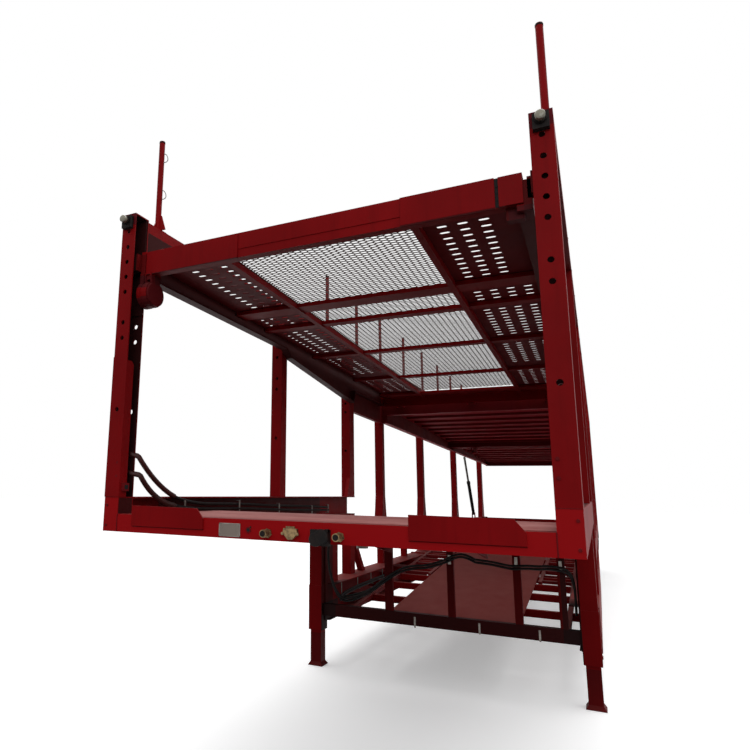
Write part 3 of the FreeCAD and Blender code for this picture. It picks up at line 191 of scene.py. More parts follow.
def paint(name, bright, dark, dust=(0.20, 0.10, 0.09), dust_amount=0.5, rust=0.35, rough=(0.45, 0.6),
          stains_light_and_shade=()):
    """Worn paint: two tones, streaks, rusty chips, dust on what looks up, and stains, painted shade and
    painted light in boxes.
    """
    n = Material(name)
    base = n.mix(n.ramp(n.noise(1.3, 5), ((0.35, 0.0), (0.68, 1.0))), dark, bright)
    streak = n.ramp(n.noise(3.0, 6, 0.6, STREAKS), ((0.52, 0.0), (0.74, 0.5)))
    base = n.mix(streak, base, tuple(c * 0.62 for c in bright))
    spots = n.ramp(n.noise(34.0, 6, 0.7), ((0.64, 0.0), (0.70, rust)))
    patch = n.ramp(n.noise(2.1, 3), ((0.45, 0.0), (0.7, 1.0)))
    chips = n.math("MULTIPLY", spots, patch)
    base = n.mix(chips, base, RUST)
    up = n.ramp(n.normal_z(), ((0.35, 0.0), (0.95, 1.0)))
    grime = n.math("MULTIPLY", up, n.ramp(n.noise(5.0, 6, 0.6), ((0.3, 0.35), (0.7, 1.0))))
    grime = n.math("MULTIPLY", grime, dust_amount)
    base = n.mix(grime, base, dust)
    # stains, painted shade and painted light, each mixed in within its box
    for lo, hi, color, amount, underside in stains_light_and_shade:
        where = n.math("MULTIPLY", n.within(lo, hi), amount)
        if underside:
            down = n.ramp(n.math("MULTIPLY", n.normal_z(), -1.0), ((0.5, 0.0), (0.8, 1.0)))
            where = n.math("MULTIPLY", where, down)
        base = n.mix(where, base, color)
    r = n.mix(n.noise(9.0, 4), grey(rough[0]), grey(rough[1]))
    r = n.mix(n.math("MAXIMUM", grime, chips), r, grey(DIRT_ROUGH))
    n.surface({"Base Color": base, "Roughness": r, "Specular IOR Level": PAINT_GLOSS})
    n.bump(n.noise(55.0, 3, 0.5), 0.12, 0.0015)
    return n.mat


def metal(name, color, dark, rough, scale=30.0, metallic=1.0):
    n = Material(name)
    n.surface({"Base Color": n.mix(n.ramp(n.noise(scale, 5), ((0.35, 0.0), (0.7, 1.0))), color, dark),
               "Roughness": n.mix(n.noise(scale * 1.7), grey(rough * 0.7), grey(min(1.0, rough * 1.4))),
               "Metallic": metallic})
    n.bump(n.noise(scale * 3), 0.1, 0.001)
    return n.mat


def rubber(name, color, scale, dust=(0.16, 0.13, 0.11), rough=0.75, dust_amount=0.5, gloss=0.5):
    n = Material(name)
    dusty = n.math("MULTIPLY", n.ramp(n.noise(scale, 5), ((0.4, 0.0), (0.75, 1.0))), dust_amount)
    n.surface({"Base Color": n.mix(dusty, color, dust),
               "Roughness": n.mix(n.noise(scale * 2), grey(rough * 0.85), grey(min(1.0, rough * 1.15))),
               "Specular IOR Level": gloss})
    n.bump(n.noise(140.0), 0.15, 0.001)
    return n.mat


def lens(name, color):
    n = Material(name)
    n.surface({"Base Color": n.mix(n.noise(60.0), color, tuple(c * 0.8 for c in color)),
               "Roughness": 0.12, "Coat Weight": 0.12, "Specular IOR Level": 0.2})
    n.bump(n.noise(220.0, 2), 0.08, 0.0008)
    return n.mat


# ------------------------------------------------------------------ colours, stains, painted shade and painted light
RED = (0.235, 0.0030, 0.0044)
RED_DARK = (0.160, 0.0020, 0.0030)
# near black: painted shade in hollows and under parts, and soot with painted shade on the step frame
SHADE_AND_SOOT = (0.010, 0.005, 0.005)
# a box of stain, painted shade or painted light, as its comment says: lowest and highest x, distance from the
# middle and z, its colour and amount, undersides only
STAINS_LIGHT_AND_SHADE = (
    # under the front deck: painted shade on the undersides
    ((at(5.1), 0.0, 2.60), (at(0.0), HALF, 3.40), (0.03, 0.006, 0.006), 0.45, True),
    # inside of the front posts, and the inner side of their foot: painted shade
    ((at(0.1225), POST_IN - 0.001, 1.598), (at(0.0075), HALF - 0.0075, 3.389), (0.012, 0.006, 0.006), 0.92,
     False),
    ((at(0.124), POST_IN - 0.001, 1.502), (at(0.006), POST_IN + 0.001, 1.592), SHADE_AND_SOOT, 0.8, False),
    # step frame, soot and painted shade: cross tube, then what stands on it
    ((at(3.50), 0.0, 0.30), (at(2.90), 1.135, 0.575), SHADE_AND_SOOT, 0.85, False),
    ((at(3.45), 0.0, 0.576), (at(2.90), 1.10, 1.25), SHADE_AND_SOOT, 0.45, False),
    # landing legs, road dirt and painted shade: feet, then the inner side
    ((at(3.40), 0.0, 0.0), (at(2.60), HALF, 0.299), (0.02, 0.005, 0.005), 0.5, False),
    ((at(3.20), 1.00, 0.30), (at(2.70), 1.137, 1.40), SHADE_AND_SOOT, 0.75, False),
    # front deck, painted shade: inside of the rails, lug under the beam, end of the beam
    ((at(4.98), POST_IN - 0.085, 2.60), (at(0.142), POST_IN - 0.014, 3.12), SHADE_AND_SOOT, 0.80, False),
    ((at(0.165), 1.030, 2.930), (at(0.105), 1.130, 2.993), SHADE_AND_SOOT, 0.6, False),
    ((at(0.142), 1.1221, 2.90), (at(0.0205), 1.172, 3.13), SHADE_AND_SOOT, 0.5, False),
    # painted shade inside the gooseneck's rails, and on the gussets of the post heads
    ((at(3.20), POST_IN + 0.002, 1.33), (at(0.50), HALF - 0.008, 1.60), SHADE_AND_SOOT, 0.70, False),
    ((at(0.43), 1.190, 3.17), (at(0.128), 1.206, POST_TOP - 0.0705), SHADE_AND_SOOT, 0.85, False),
    # top of the posts' front darker, and painted light that brightens the front beam's face
    ((at(0.006), POST_IN - 0.001, POST_TOP - 0.080), (at(-0.003), HALF + 0.001, POST_TOP + 0.001),
     (0.07, 0.006, 0.010), 0.8, False),
    ((at(0.0005), 0.0, 1.36), (at(-0.003), HALF + 0.001, 1.597), (0.34, 0.0045, 0.0065), 0.75, False),
    # rope wheel
    ((at(0.20), 1.05, 2.78), (at(0.04), 1.170, 2.985), (0.05, 0.008, 0.010), 0.7, False),
)
# painted light that brightens the undersides of the plated decks, and painted shade on the front deck's
# tracks
DECK_LIGHT_AND_SHADE = (
    ((at(14.0), 0.0, 2.20), (at(5.0), HALF, 2.90), (0.50, 0.030, 0.042), 0.75, True),
    ((at(5.0), 0.0, 2.60), (at(0.0), HALF, 3.30), SHADE_AND_SOOT, 0.45, False),
)
# painted shade, with less dust, on the front part of the lower floor
FLOOR_SHADE = (((at(9.0), 0.0, 0.30), (at(2.95), 0.62, 1.10), (0.130, 0.015, 0.012), 0.82, False),)
MAT = {
    "red_paint": paint("red_paint", RED, RED_DARK, stains_light_and_shade=STAINS_LIGHT_AND_SHADE),
    "dark_red_deck": paint("dark_red_deck", (0.17, 0.009, 0.011), (0.10, 0.005, 0.007), dust_amount=0.7,
                           rust=0.6, rough=(0.45, 0.7), stains_light_and_shade=DECK_LIGHT_AND_SHADE),
    "dusty_red_deck": paint("dusty_red_deck", (0.24, 0.035, 0.030), (0.17, 0.022, 0.020),
                            dust=(0.46, 0.21, 0.195), dust_amount=0.95, rust=0.5, rough=(0.5, 0.75),
                            stains_light_and_shade=FLOOR_SHADE),
    "bare_steel": metal("bare_steel", (0.24, 0.22, 0.20), (0.12, 0.10, 0.09), 0.5),
    "greasy_steel": metal("greasy_steel", (0.10, 0.095, 0.085), (0.03, 0.027, 0.022), 0.35, 12.0),
    "black_paint": paint("black_paint", (0.022, 0.021, 0.021), (0.012, 0.012, 0.012),
                         dust=(0.09, 0.075, 0.065), rust=0.5, rough=(0.4, 0.65)),
    "mesh_steel": metal("mesh_steel", (0.075, 0.050, 0.045), (0.03, 0.02, 0.018), 0.6, 20.0, 0.3),
    "tyre": rubber("tyre", (0.018, 0.018, 0.018), 5.0),
    "rim_paint": paint("rim_paint", (0.5, 0.5, 0.5), (0.36, 0.35, 0.34), dust=(0.25, 0.2, 0.17), rust=0.6),
    "lamp_red": lens("lamp_red", (0.42, 0.01, 0.012)),
    "lamp_white": lens("lamp_white", (0.34, 0.32, 0.25)),
    "brass": metal("brass", (0.26, 0.18, 0.09), (0.09, 0.065, 0.04), 0.5, 60.0),
    "pale_plate": paint("pale_plate", (0.30, 0.25, 0.22), (0.22, 0.18, 0.15), dust=(0.2, 0.15, 0.12),
                        rust=0.5, rough=(0.35, 0.5)),
    "sleeve": rubber("sleeve", (0.040, 0.006, 0.005), 9.0, dust=(0.012, 0.006, 0.005), rough=0.5,
                     dust_amount=0.9, gloss=0.25),
    "black_rubber": rubber("black_rubber", (0.005, 0.004, 0.004), 20.0, dust=(0.030, 0.017, 0.015),
                           rough=0.5, gloss=0.10),
    "mudguard_plastic": rubber("mudguard_plastic", (0.02, 0.02, 0.02), 6.0, rough=0.6),
    "wire_rope": metal("wire_rope", (0.30, 0.29, 0.28), (0.12, 0.1, 0.09), 0.5, 300.0),
}
slot_of = {s["node"]: s["material_slot"] for s in frame["record"]["subparts"]}
for node, obj in nodes.items():
    for slot in obj.material_slots:
        slot.material = MAT[slot_of[node]]

# ------------------------------------------------------------------ mesh helpers
# a box's faces, its corners counted with z changing fastest and x slowest
BOX_FACES = ((0, 1, 3, 2), (4, 6, 7, 5), (0, 4, 5, 1), (2, 3, 7, 6), (0, 2, 6, 4), (1, 5, 7, 3))


def ring(centre, u, v, r, sides):
    """Corners of a regular polygon about centre, in the plane of u and v."""
    return [centre + r * (math.cos(a) * u + math.sin(a) * v)
            for a in (2 * math.pi * k / sides for k in range(sides))]


class Shape:
    """Vertices and faces that grow solid by solid, and then become one piece."""

    def __init__(self):
        self.v = []
        self.f = []

    def add(self, verts, faces):
        k = len(self.v)
        self.v += [Vector(p) for p in verts]
        self.f += [tuple(i + k for i in f) for f in faces]

    def box(self, lo, hi):
        self.add([(x, y, z) for x in (lo[0], hi[0]) for y in (lo[1], hi[1]) for z in (lo[2], hi[2])],
                 BOX_FACES)

    def block(self, d0, d1, y0, y1, z0, z1):
        """A box from d0 to d1 behind the front face; y0 and y1 come in either order."""
        self.box((at(d1), min(y0, y1), z0), (at(d0), max(y0, y1), z1))

    def prism(self, outline, y0, y1):
        """A plate with an outline of (distance behind the face, z), from y0 to y1."""
        n = len(outline)
        vs = [(at(d), y, z) for y in (y0, y1) for d, z in outline]
        fs = [tuple(range(n)), tuple(range(2 * n - 1, n - 1, -1))]
        fs += [(k, (k + 1) % n, (k + 1) % n + n, k + n) for k in range(n)]
        self.add(vs, fs)

    def band(self, outer, inner, y0, y1):
        """The flanges between two outlines with as many corners, from y0 to y1."""
        n = len(outer)
        vs = [(at(d), y, z) for y in (y0, y1) for edge in (outer, inner) for d, z in edge]
        fs = []
        for k in range(n):
            q = (k + 1) % n
            fs += [(k, q, q + n, k + n), (k + 2 * n, q + 2 * n, q + 3 * n, k + 3 * n),
                   (k, q, q + 2 * n, k + 2 * n), (k + n, q + n, q + 3 * n, k + 3 * n)]
        self.add(vs, fs)

    def bar(self, a, b, w, h):
        """A straight flat bar from a to b, w wide and h high."""
        a, b = Vector(a), Vector(b)
        t = (b - a).normalized()
        s = t.cross(Vector(UPWARD)).normalized() * w / 2
        u = s.cross(t).normalized() * h / 2
        self.add([p + i * s + j * u for p in (a, b) for i in (-1, 1) for j in (-1, 1)], BOX_FACES)

    def loft(self, rings):
        """A skin over rings with as many corners, closed at both ends."""
        n, sides = len(rings), len(rings[0])
        fs = [(i * sides + k, i * sides + q, (i + 1) * sides + q, (i + 1) * sides + k)
              for i in range(n - 1) for k, q in zip(range(sides), (*range(1, sides), 0))]
        fs += [tuple(range(sides))[::-1], tuple((n - 1) * sides + k for k in range(sides))]
        self.add([v for corners in rings for v in corners], fs)

    def tube(self, points, r, sides):
        """A round tube along the points, closed at both ends."""
        pts = [Vector(p) for p in points]
        rings = []
        normal = (pts[1] - pts[0]).normalized().orthogonal().normalized()
        for i, p in enumerate(pts):
            t = (pts[min(i + 1, len(pts) - 1)] - pts[max(i - 1, 0)]).normalized()
            normal = (normal - normal.dot(t) * t).normalized()
            rings.append(ring(p, normal, t.cross(normal), r, sides))
        self.loft(rings)

    def disc(self, centre, axis, r, h, sides, dome=0.0):
        """A round boss along axis, its end crowned by dome."""
        c, ax = Vector(centre), Vector(axis).normalized()
        n = ax.orthogonal().normalized()
        steps = [(r, 0.0), (r, h)]
        if dome:
            steps += [(r * math.cos(a), h + dome * math.sin(a)) for a in (0.5, 0.95, 1.3)]
        self.loft([ring(c + ax * hh, n, ax.cross(n), rr, sides) for rr, hh in steps])

    def lathe(self, centre, profile, steps, groove):
        """A ring about the y axis; groove(k, i) is how far point i of step k lies below the profile."""
        cx, cz = centre
        n = len(profile)
        vs = []
        for k in range(steps):
            a = 2 * math.pi * k / steps
            for i, (r, y) in enumerate(profile):
                q = r - groove(k, i)
                vs.append((cx + q * math.sin(a), y, cz - q * math.cos(a)))
        fs = []
        for k in range(steps):
            j = (k + 1) % steps
            fs += [(k * n + i, k * n + i + 1, j * n + i + 1, j * n + i) for i in range(n - 1)]
        self.add(vs, fs)

    def make(self, name, slot, body, smooth=False):
        """The grown shape as a piece that rides on a body."""
        me = bpy.data.meshes.new(name)
        me.from_pydata([tuple(v) for v in self.v], [], self.f)
        me.validate()
        me.materials.append(MAT[slot])
        if smooth:
            me.shade_smooth()
        o = bpy.data.objects.new(name, me)
        bpy.context.scene.collection.objects.link(o)
        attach(o, body)
        return o


# ------------------------------------------------------------------ expanded metal of the front deck
DECK_FALL = (DECK_HI[2] - DECK_LO[2] - 0.004) / (DECK_HI[0] - DECK_LO[0])
STRINGER = (0.558, 0.598)     # distances of the stringers' sides from the middle
LONG_WAY = 0.076              # diamond size across the trailer
SHORT_WAY = 0.031             # and along it
STRAND = 0.0088               # width of a strand
BOND = 0.16                   # part of the long way in which two strands are one


def deck_top(x):
    """Height of the front deck's mesh and tracks."""
    return DECK_HI[2] - DECK_FALL * (DECK_HI[0] - x)


def expanded_metal():
    """Strands that run from bond to bond, with a flat strip along each stringer."""
    s = Shape()
    x0, x1 = DECK_LO[0] + 0.002, DECK_HI[0] - 0.002
    edge = STRINGER[0] + 0.004
    rows = int((x1 - x0) / SHORT_WAY * 2)
    cols = int(2 * edge / LONG_WAY)
    px = (x1 - x0) / rows
    py = 2 * edge / cols
    bond = BOND * py

    def clip(y):
        return max(-edge, min(edge, y))

    for i in range(rows):
        xa = x0 + i * px
        xb = xa + px
        for j in range(-1, cols + 1):
            yc = -edge + (j + 0.5 * (i % 2)) * py
            for side in (RIGHT, LEFT):
                ya, yb = clip(yc + side * bond / 2), clip(yc + side * (py / 2 - bond / 2))
                if abs(yb - ya) >= 0.004:
                    s.bar((xa, ya, deck_top(xa) - 0.0030), (xb, yb, deck_top(xb) - 0.0014), STRAND, 0.0018)
            ya, yb = max(-edge, yc - bond / 2 - 0.001), min(edge, yc + bond / 2 + 0.001)
            if yb - ya > 0.003:
                z = deck_top(xa) - 0.0022
                s.bar((xa, ya, z), (xa, yb, z), STRAND * 1.15, 0.0026)
    for y in (-edge + 0.004, edge - 0.004):
        s.bar((x0, y, deck_top(x0) - 0.002), (x1, y, deck_top(x1) - 0.002), 0.008, 0.003)
    o = s.make("expanded_metal", "mesh_steel", "front_deck")
    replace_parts(o, "front_deck_mesh")


expanded_metal()

# ------------------------------------------------------------------ slotted wheel tracks
TRACK_SHEET = 0.005
SLOT_PITCH = 0.078
SLOT_LEN = 0.057
SLOT_WIDE = 0.028
ROW_PITCH = 0.1085
ROW_FIRST = 0.692
ROWS, ROWS_AT_FRONT = 4, 3
# stretches between the cross members, metres behind the front posts
SLOT_STRETCHES = ((0.278, 1.136), (1.372, 1.606), (1.79, 2.57), (2.75, 3.61), (3.81, 4.73))


def slot_reach(c, q):
    """Distance from a slot's middle to its edge, towards (c, q), found by halving."""
    r = SLOT_WIDE / 2
    flat = SLOT_LEN / 2 - r
    lo, hi = 0.0, 0.2
    for _ in range(24):
        m = (lo + hi) / 2
        inside = math.hypot(m * c, max(0.0, abs(m * q) - flat)) < r
        lo, hi = (m, hi) if inside else (lo, m)
    return lo


def slotted_cell(s, x0, x1, y0, y1, cx, cy):
    """A rectangle of plate with one long hole through it, about (cx, cy)."""
    hx, hy = (x1 - x0) / 2, (y1 - y0) / 2
    mx, my = (x0 + x1) / 2, (y0 + y1) / 2
    corner = math.atan2(hy, hx)
    angles = []
    for a, b in ((-corner, corner), (corner, math.pi - corner), (math.pi - corner, math.pi + corner),
                 (math.pi + corner, 2 * math.pi - corner)):
        angles += [a + (b - a) * k / 4 for k in range(4)]
    outer, inner = [], []
    for a in angles:
        c, q = math.cos(a), math.sin(a)
        k = min(hx / abs(c) if abs(c) > 1e-9 else 1e9, hy / abs(q) if abs(q) > 1e-9 else 1e9)
        outer.append((mx + k * c, my + k * q))
        reach = slot_reach(c, q)
        inner.append((cx + reach * c, cy + reach * q))
    n = len(angles)
    vs = [(x, y, deck_top(x) + dz)
          for corners in (outer, inner) for dz in (0.0, -TRACK_SHEET) for x, y in corners]
    fs = []
    for k in range(n):
        q = (k + 1) % n
        fs += [(k, q, 2 * n + q, 2 * n + k), (n + q, n + k, 3 * n + k, 3 * n + q),
               (2 * n + k, 2 * n + q, 3 * n + q, 3 * n + k)]
    s.add(vs, fs)


def plain_strip(s, side, xa, xb, ya, yb):
    """A stretch of plate without holes, left out where it has no width."""
    if abs(xb - xa) < 0.001 or yb - ya < 0.001:
        return
    ya, yb = sorted((side * ya, side * yb))
    s.add([(x, y, deck_top(x) + dz) for x in (xb, xa) for y in (ya, yb) for dz in (-TRACK_SHEET, 0.0)],
          BOX_FACES)


def slotted_tracks():
    s = Shape()
    y_lo, y_hi = STRINGER[1] - 0.006, TRACK_HI[1]
    row0 = ROW_FIRST - ROW_PITCH / 2
    for side in (RIGHT, LEFT):
        previous = TRACK_HI[0]
        for stretch, (da, db) in enumerate(SLOT_STRETCHES):
            xa, xb = at(da), at(db)
            count = max(1, round((db - da) / SLOT_PITCH))
            pitch = (xa - xb) / count
            rows = ROWS if stretch else ROWS_AT_FRONT
            plain_strip(s, side, previous, xa, y_lo, y_hi)
            plain_strip(s, side, xa, xb, y_lo, row0)
            plain_strip(s, side, xa, xb, min(y_hi, row0 + rows * ROW_PITCH), y_hi)
            for i in range(count):
                for j in range(rows):
                    ya, yb = row0 + j * ROW_PITCH, min(y_hi, row0 + (j + 1) * ROW_PITCH)
                    c = ROW_FIRST + j * ROW_PITCH
                    if c + SLOT_LEN / 2 > yb - 0.002:
                        yb = max(yb, c + SLOT_LEN / 2 + 0.003)
                    y0, y1 = sorted((side * ya, side * yb))
                    slotted_cell(s, xa - (i + 1) * pitch, xa - i * pitch, y0, y1,
                                 xa - (i + 0.5) * pitch, side * c)
            previous = xb
        plain_strip(s, side, previous, TRACK_LO[0], y_lo, y_hi)
    o = s.make("slotted_tracks", "dark_red_deck", "front_deck")
    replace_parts(o, "front_deck_tracks")


slotted_tracks()

# ------------------------------------------------------------------ frame of the front deck
DECK_Y = POST_IN - 0.010      # outside of the rails
WEB_Y = DECK_Y - 0.008        # inner side of their web
RAIL_Y = DECK_Y - 0.070       # edge of their flanges
MEMBER_Y = RAIL_Y + 0.008     # ends of the cross members
DECK_END = 4.990
BEAM_FRONT, BEAM_WEB, BEAM_BACK = 0.080, 0.088, 0.140
BEAM_Z = (2.994, 3.148)
BEAM_END = 1.122              # left end, short of the rail as in the photograph
TONGUE_Y = 1.253              # end of the tongues that run in the front posts
TONGUE_Z = (3.016, 3.126)
STRINGER_D = 0.136
END_Z = 2.772
# cross members: front side and width along the trailer
MEMBERS = ((1.130, 0.150), (1.600, 0.080), (2.605, 0.075), (3.785, 0.070), (4.750, 0.240))
MEMBER_DEEP = 0.028
# lower edge of the rails, and of the hollow between their flanges
RAIL_OUTER = ((BEAM_FRONT, 2.960), (2.050, 2.928), (2.150, 2.862), (3.800, 2.668), (3.850, 2.806),
              (DECK_END, 2.786))
RAIL_POCKET = ((0.090, 2.972), (2.050, 2.940), (2.160, 2.874), (3.788, 2.684), (3.842, 2.818),
               (DECK_END - 0.010, 2.798))
HOOK = ((4.984, 2.772), (4.984, 2.850), (5.025, 2.814), (5.047, 2.790), (5.025, 2.766))
SHEAVE = (0.118, 2.866)       # axle of the rope wheel
SHEAVE_CHEEK = ((0.088, 2.836), (0.148, 2.836), (0.168, 3.002), (0.068, 3.002))
# rope wheel and its outer discs: y, radius, width
SHEAVE_DISCS = ((-1.158, 0.086, 0.028), (-1.130, 0.0835, 0.046), (-1.084, 0.078, 0.016))
# blocks at the beam's right and left end, from and to behind the front posts, y and z
SHEAVE_GUARD = (0.062, 0.150, -1.158, -1.130, SHEAVE[1], 3.000)
BEAM_LUG = (0.110, 0.160, 1.040, 1.120, 2.934, 3.002)


def deck_z(d):
    """Height of the line that the front deck's frame is built to."""
    return 3.070 - 0.030 * d


def deck_frame():
    """Rails and flat cross members as thin as the photograph shows them."""
    s = Shape()
    top_front, top_back = deck_z(BEAM_FRONT), deck_z(DECK_END)
    outer = RAIL_OUTER + ((DECK_END, top_back + 0.045), (BEAM_FRONT, top_front + 0.045))
    pocket = RAIL_POCKET + ((DECK_END - 0.010, top_back + 0.035), (0.090, top_front + 0.035))
    stringer = [(d, deck_z(d) - drop) for d, drop in ((STRINGER_D, 0.046), (DECK_END, 0.046),
                                                      (DECK_END, 0.006), (STRINGER_D, 0.006))]
    for side in (RIGHT, LEFT):
        beam_end = DECK_Y if side == RIGHT else BEAM_END
        s.prism(outer, side * WEB_Y, side * DECK_Y)
        s.band(outer, pocket, side * RAIL_Y, side * WEB_Y)
        s.block(BEAM_WEB, BEAM_BACK, side * RAIL_Y, side * beam_end, *BEAM_Z)
        s.block(0.030, BEAM_FRONT, side * DECK_Y, side * TONGUE_Y, *TONGUE_Z)
        s.block(BEAM_FRONT, 0.095, side * 1.141, side * TONGUE_Y, *TONGUE_Z)
        s.prism(stringer, side * STRINGER[0], side * STRINGER[1])
    s.block(BEAM_FRONT, BEAM_WEB, -DECK_Y, BEAM_END, *BEAM_Z)
    for z0, z1 in ((3.140, BEAM_Z[1]), (BEAM_Z[0], 3.002)):
        s.block(BEAM_WEB, BEAM_BACK, -RAIL_Y, RAIL_Y, z0, z1)
    for d, wide in MEMBERS:
        top = deck_z(d + wide) - 0.005
        s.block(d, d + wide, -MEMBER_Y, MEMBER_Y, top - MEMBER_DEEP, top)
    s.block(DECK_END - 0.008, DECK_END, -MEMBER_Y, MEMBER_Y, END_Z, top_back - 0.006)
    for y in (-0.900, 0.0, 0.900):
        s.prism(HOOK, y - 0.030, y + 0.030)
    s.block(*BEAM_LUG)
    for y in (-1.129, -1.085):
        s.prism(SHEAVE_CHEEK, y, y + 0.010)
    for y, r, wide in SHEAVE_DISCS:
        s.disc((at(SHEAVE[0]), y, SHEAVE[1]), ACROSS, r, wide, 24)
    s.block(*SHEAVE_GUARD)
    o = s.make("deck_frame", "red_paint", "front_deck")
    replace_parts(o, "front_deck_frame")


# ------------------------------------------------------------------ tracks of the lower deck
LADDER = (3.300, 9.000)       # front and back end
LADDER_BEND = (3.397, 0.470)  # level in front of it, rising behind it
RUNGS_FROM = 5.30
RUNG_PITCH, RUNG_HALF = 0.2905, 0.022
OUTER_RUNNER = (0.985, 1.030)
INNER_RUNNER = (0.630, 0.670)


def lower_z(d):
    """Height of the lower deck's tracks."""
    return max(LADDER_BEND[1], 0.439 + (d - 3.060) / 5.940 * 0.546)


def ladder_tracks():
    """An outer runner all along, rungs and an inner runner behind the open bays."""
    s = Shape()
    for side in (RIGHT, LEFT):
        for d0, (y0, y1) in ((LADDER[0], OUTER_RUNNER), (RUNGS_FROM, INNER_RUNNER)):
            line = [(d0, lower_z(d0)), LADDER_BEND, (LADDER[1], lower_z(LADDER[1]))]
            if d0 > LADDER_BEND[0]:
                line.remove(LADDER_BEND)
            outline = [(d, z - 0.040) for d, z in line] + line[::-1]
            s.prism(outline, side * y0, side * y1)
        for k in range(20):
            d = LADDER[0] + 0.060 + k * RUNG_PITCH
            if d > RUNGS_FROM:
                ends = (d - RUNG_HALF, d + RUNG_HALF)
                lower = [(e, lower_z(e) - 0.030) for e in ends]
                upper = [(e, lower_z(e) - 0.002) for e in reversed(ends)]
                s.prism(lower + upper, side * INNER_RUNNER[0], side * 0.990)
    o = s.make("track_ladders", "dark_red_deck", "trailer")
    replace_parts(o, "ladder_tracks")


# ------------------------------------------------------------------ front beam and its couplings
THIN = 0.0012
COUPLING_Y, COUPLING_Z = (-0.165, 0.226), 1.437
LID = (-0.030, 1.443)         # middle of the cable socket's lid
SHIELD = ((-0.036, 0.024), (0.036, 0.024), (0.040, 0.000), (0.012, -0.030), (-0.012, -0.030), (-0.040, 0.000))
PORT = (-0.280, 1.448)        # small opening beside the couplings


def label_plate():
    """A rim and four rivets on the bare plate."""
    lo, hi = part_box("front_label_plate")
    rim = 0.004
    x = hi[0]
    s = Shape()
    for y0, y1, z0, z1 in ((lo[1], hi[1], lo[2], lo[2] + rim), (lo[1], hi[1], hi[2] - rim, hi[2]),
                           (lo[1], lo[1] + rim, lo[2], hi[2]), (hi[1] - rim, hi[1], lo[2], hi[2])):
        s.box((x, y0, z0), (x + THIN, y1, z1))
    for y in (lo[1] + 0.011, hi[1] - 0.011):
        for z in (lo[2] + 0.011, hi[2] - 0.011):
            s.disc((x, y, z), AHEAD, 0.0035, 0.001, 10, 0.0014)
    s.make("label_plate_rim", "bare_steel", "trailer")


def couplings():
    """Two brass brake couplings and the shield-shaped lid of the cable socket."""
    s, seals = Shape(), Shape()
    for y in COUPLING_Y:
        for out, r, long, sides in ((0.0, 0.0235, 0.010, 6), (0.010, 0.0165, 0.010, 24)):
            s.disc((FACE_X + out, y, COUPLING_Z), AHEAD, r, long, sides)
        for k in range(5):
            s.disc((FACE_X + 0.020 + 0.0080 * k, y, COUPLING_Z), AHEAD, 0.0185 + 0.0014 * (k % 2), 0.0081, 28)
        seals.disc((FACE_X + 0.060, y, COUPLING_Z), AHEAD, 0.0145, 0.0025, 24)
    y0, z0 = LID
    for x0, x1, grow in ((0.0, 0.020, 0.92), (0.020, 0.026, 1.0)):
        front = [(FACE_X + x1, y0 + a * grow, z0 + b * grow) for a, b in SHIELD]
        back = [(FACE_X + x0, y, z) for x, y, z in front]
        s.add(front + back, [tuple(range(6)), tuple(range(11, 5, -1))]
              + [(k, k + 6, (k + 1) % 6 + 6, (k + 1) % 6) for k in range(6)])
    for k in (RIGHT, LEFT):
        s.disc((FACE_X + 0.022, y0 + k * 0.041, z0 - 0.002), AHEAD, 0.008, 0.006, 6)
    for k in range(-2, 3):      # knuckles of the lid's hinge
        s.disc((FACE_X + 0.018, y0 + 0.010 * k - 0.0035, z0 + 0.028), ACROSS, 0.0060, 0.007, 12)
    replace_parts(s.make("couplings", "brass", "trailer"), "brake_and_cable_couplings")
    seals.make("coupling_seals", "black_rubber", "trailer")


def coupling_cover():
    """The round lid and corners of the black cover, and the port beside it, with painted shade in its hole.
    """
    lo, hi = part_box("coupling_cover")
    s = Shape()
    x, y, z = hi[0], (lo[1] + hi[1]) / 2, (lo[2] + hi[2]) / 2
    s.box((x - 0.003, lo[1] + 0.012, lo[2] + 0.010), (x + 0.004, hi[1] - 0.020, hi[2] - 0.008))
    s.disc((x - 0.002, y - 0.008, z + 0.002), AHEAD, 0.026, 0.010, 24, 0.004)
    s.box((x - 0.020, hi[1] - 0.016, hi[2] - 0.012), (x + 0.002, hi[1], hi[2] + 0.004))
    s.disc((x - 0.004, lo[1] + 0.030, lo[2] + 0.030), AHEAD, 0.034, 0.010, 20, 0.006)
    s.disc((x - 0.004, hi[1] - 0.034, hi[2] - 0.032), AHEAD, 0.036, 0.012, 20, 0.006)
    s.make("cover_cap", "black_rubber", "trailer")
    port, hole_shade_and_bolt = Shape(), Shape()
    port.disc((FACE_X, *PORT), AHEAD, 0.016, 0.004, 18)
    port.make("port_ring", "dark_red_deck", "trailer")
    # a black disc is painted shade in the port's hole; the small hex beside it is a bolt
    hole_shade_and_bolt.disc((FACE_X + 0.0035, *PORT), AHEAD, 0.009, 0.0012, 14)
    hole_shade_and_bolt.disc((FACE_X, -0.268, 1.462), AHEAD, 0.005, 0.003, 6)
    hole_shade_and_bolt.make("port_hole_shade_and_bolt", "black_paint", "trailer")


def weld_lines():
    """Beads and joints between the post blocks, the beam and the flaps."""
    s = Shape()
    for side in (RIGHT, LEFT):
        y0, y1 = sorted((side * POST_IN, side * (HALF - 0.001)))
        s.box((FACE_X - 0.001, y0, 1.5955), (FACE_X + THIN, y1, 1.5985))
        s.tube([(FACE_X + 0.001, side * POST_IN, z) for z in (1.402, 1.45, 1.50)], 0.003, 6)
    for y0, y1 in ((-1.055, -0.560), (0.560, 1.057)):
        s.tube([(FACE_X + 0.002, y, BEAM_TOP - 0.0635) for y in (y0, (y0 + y1) / 2, y1)], 0.0026, 6)
    s.make("weld_lines", "dark_red_deck", "trailer")


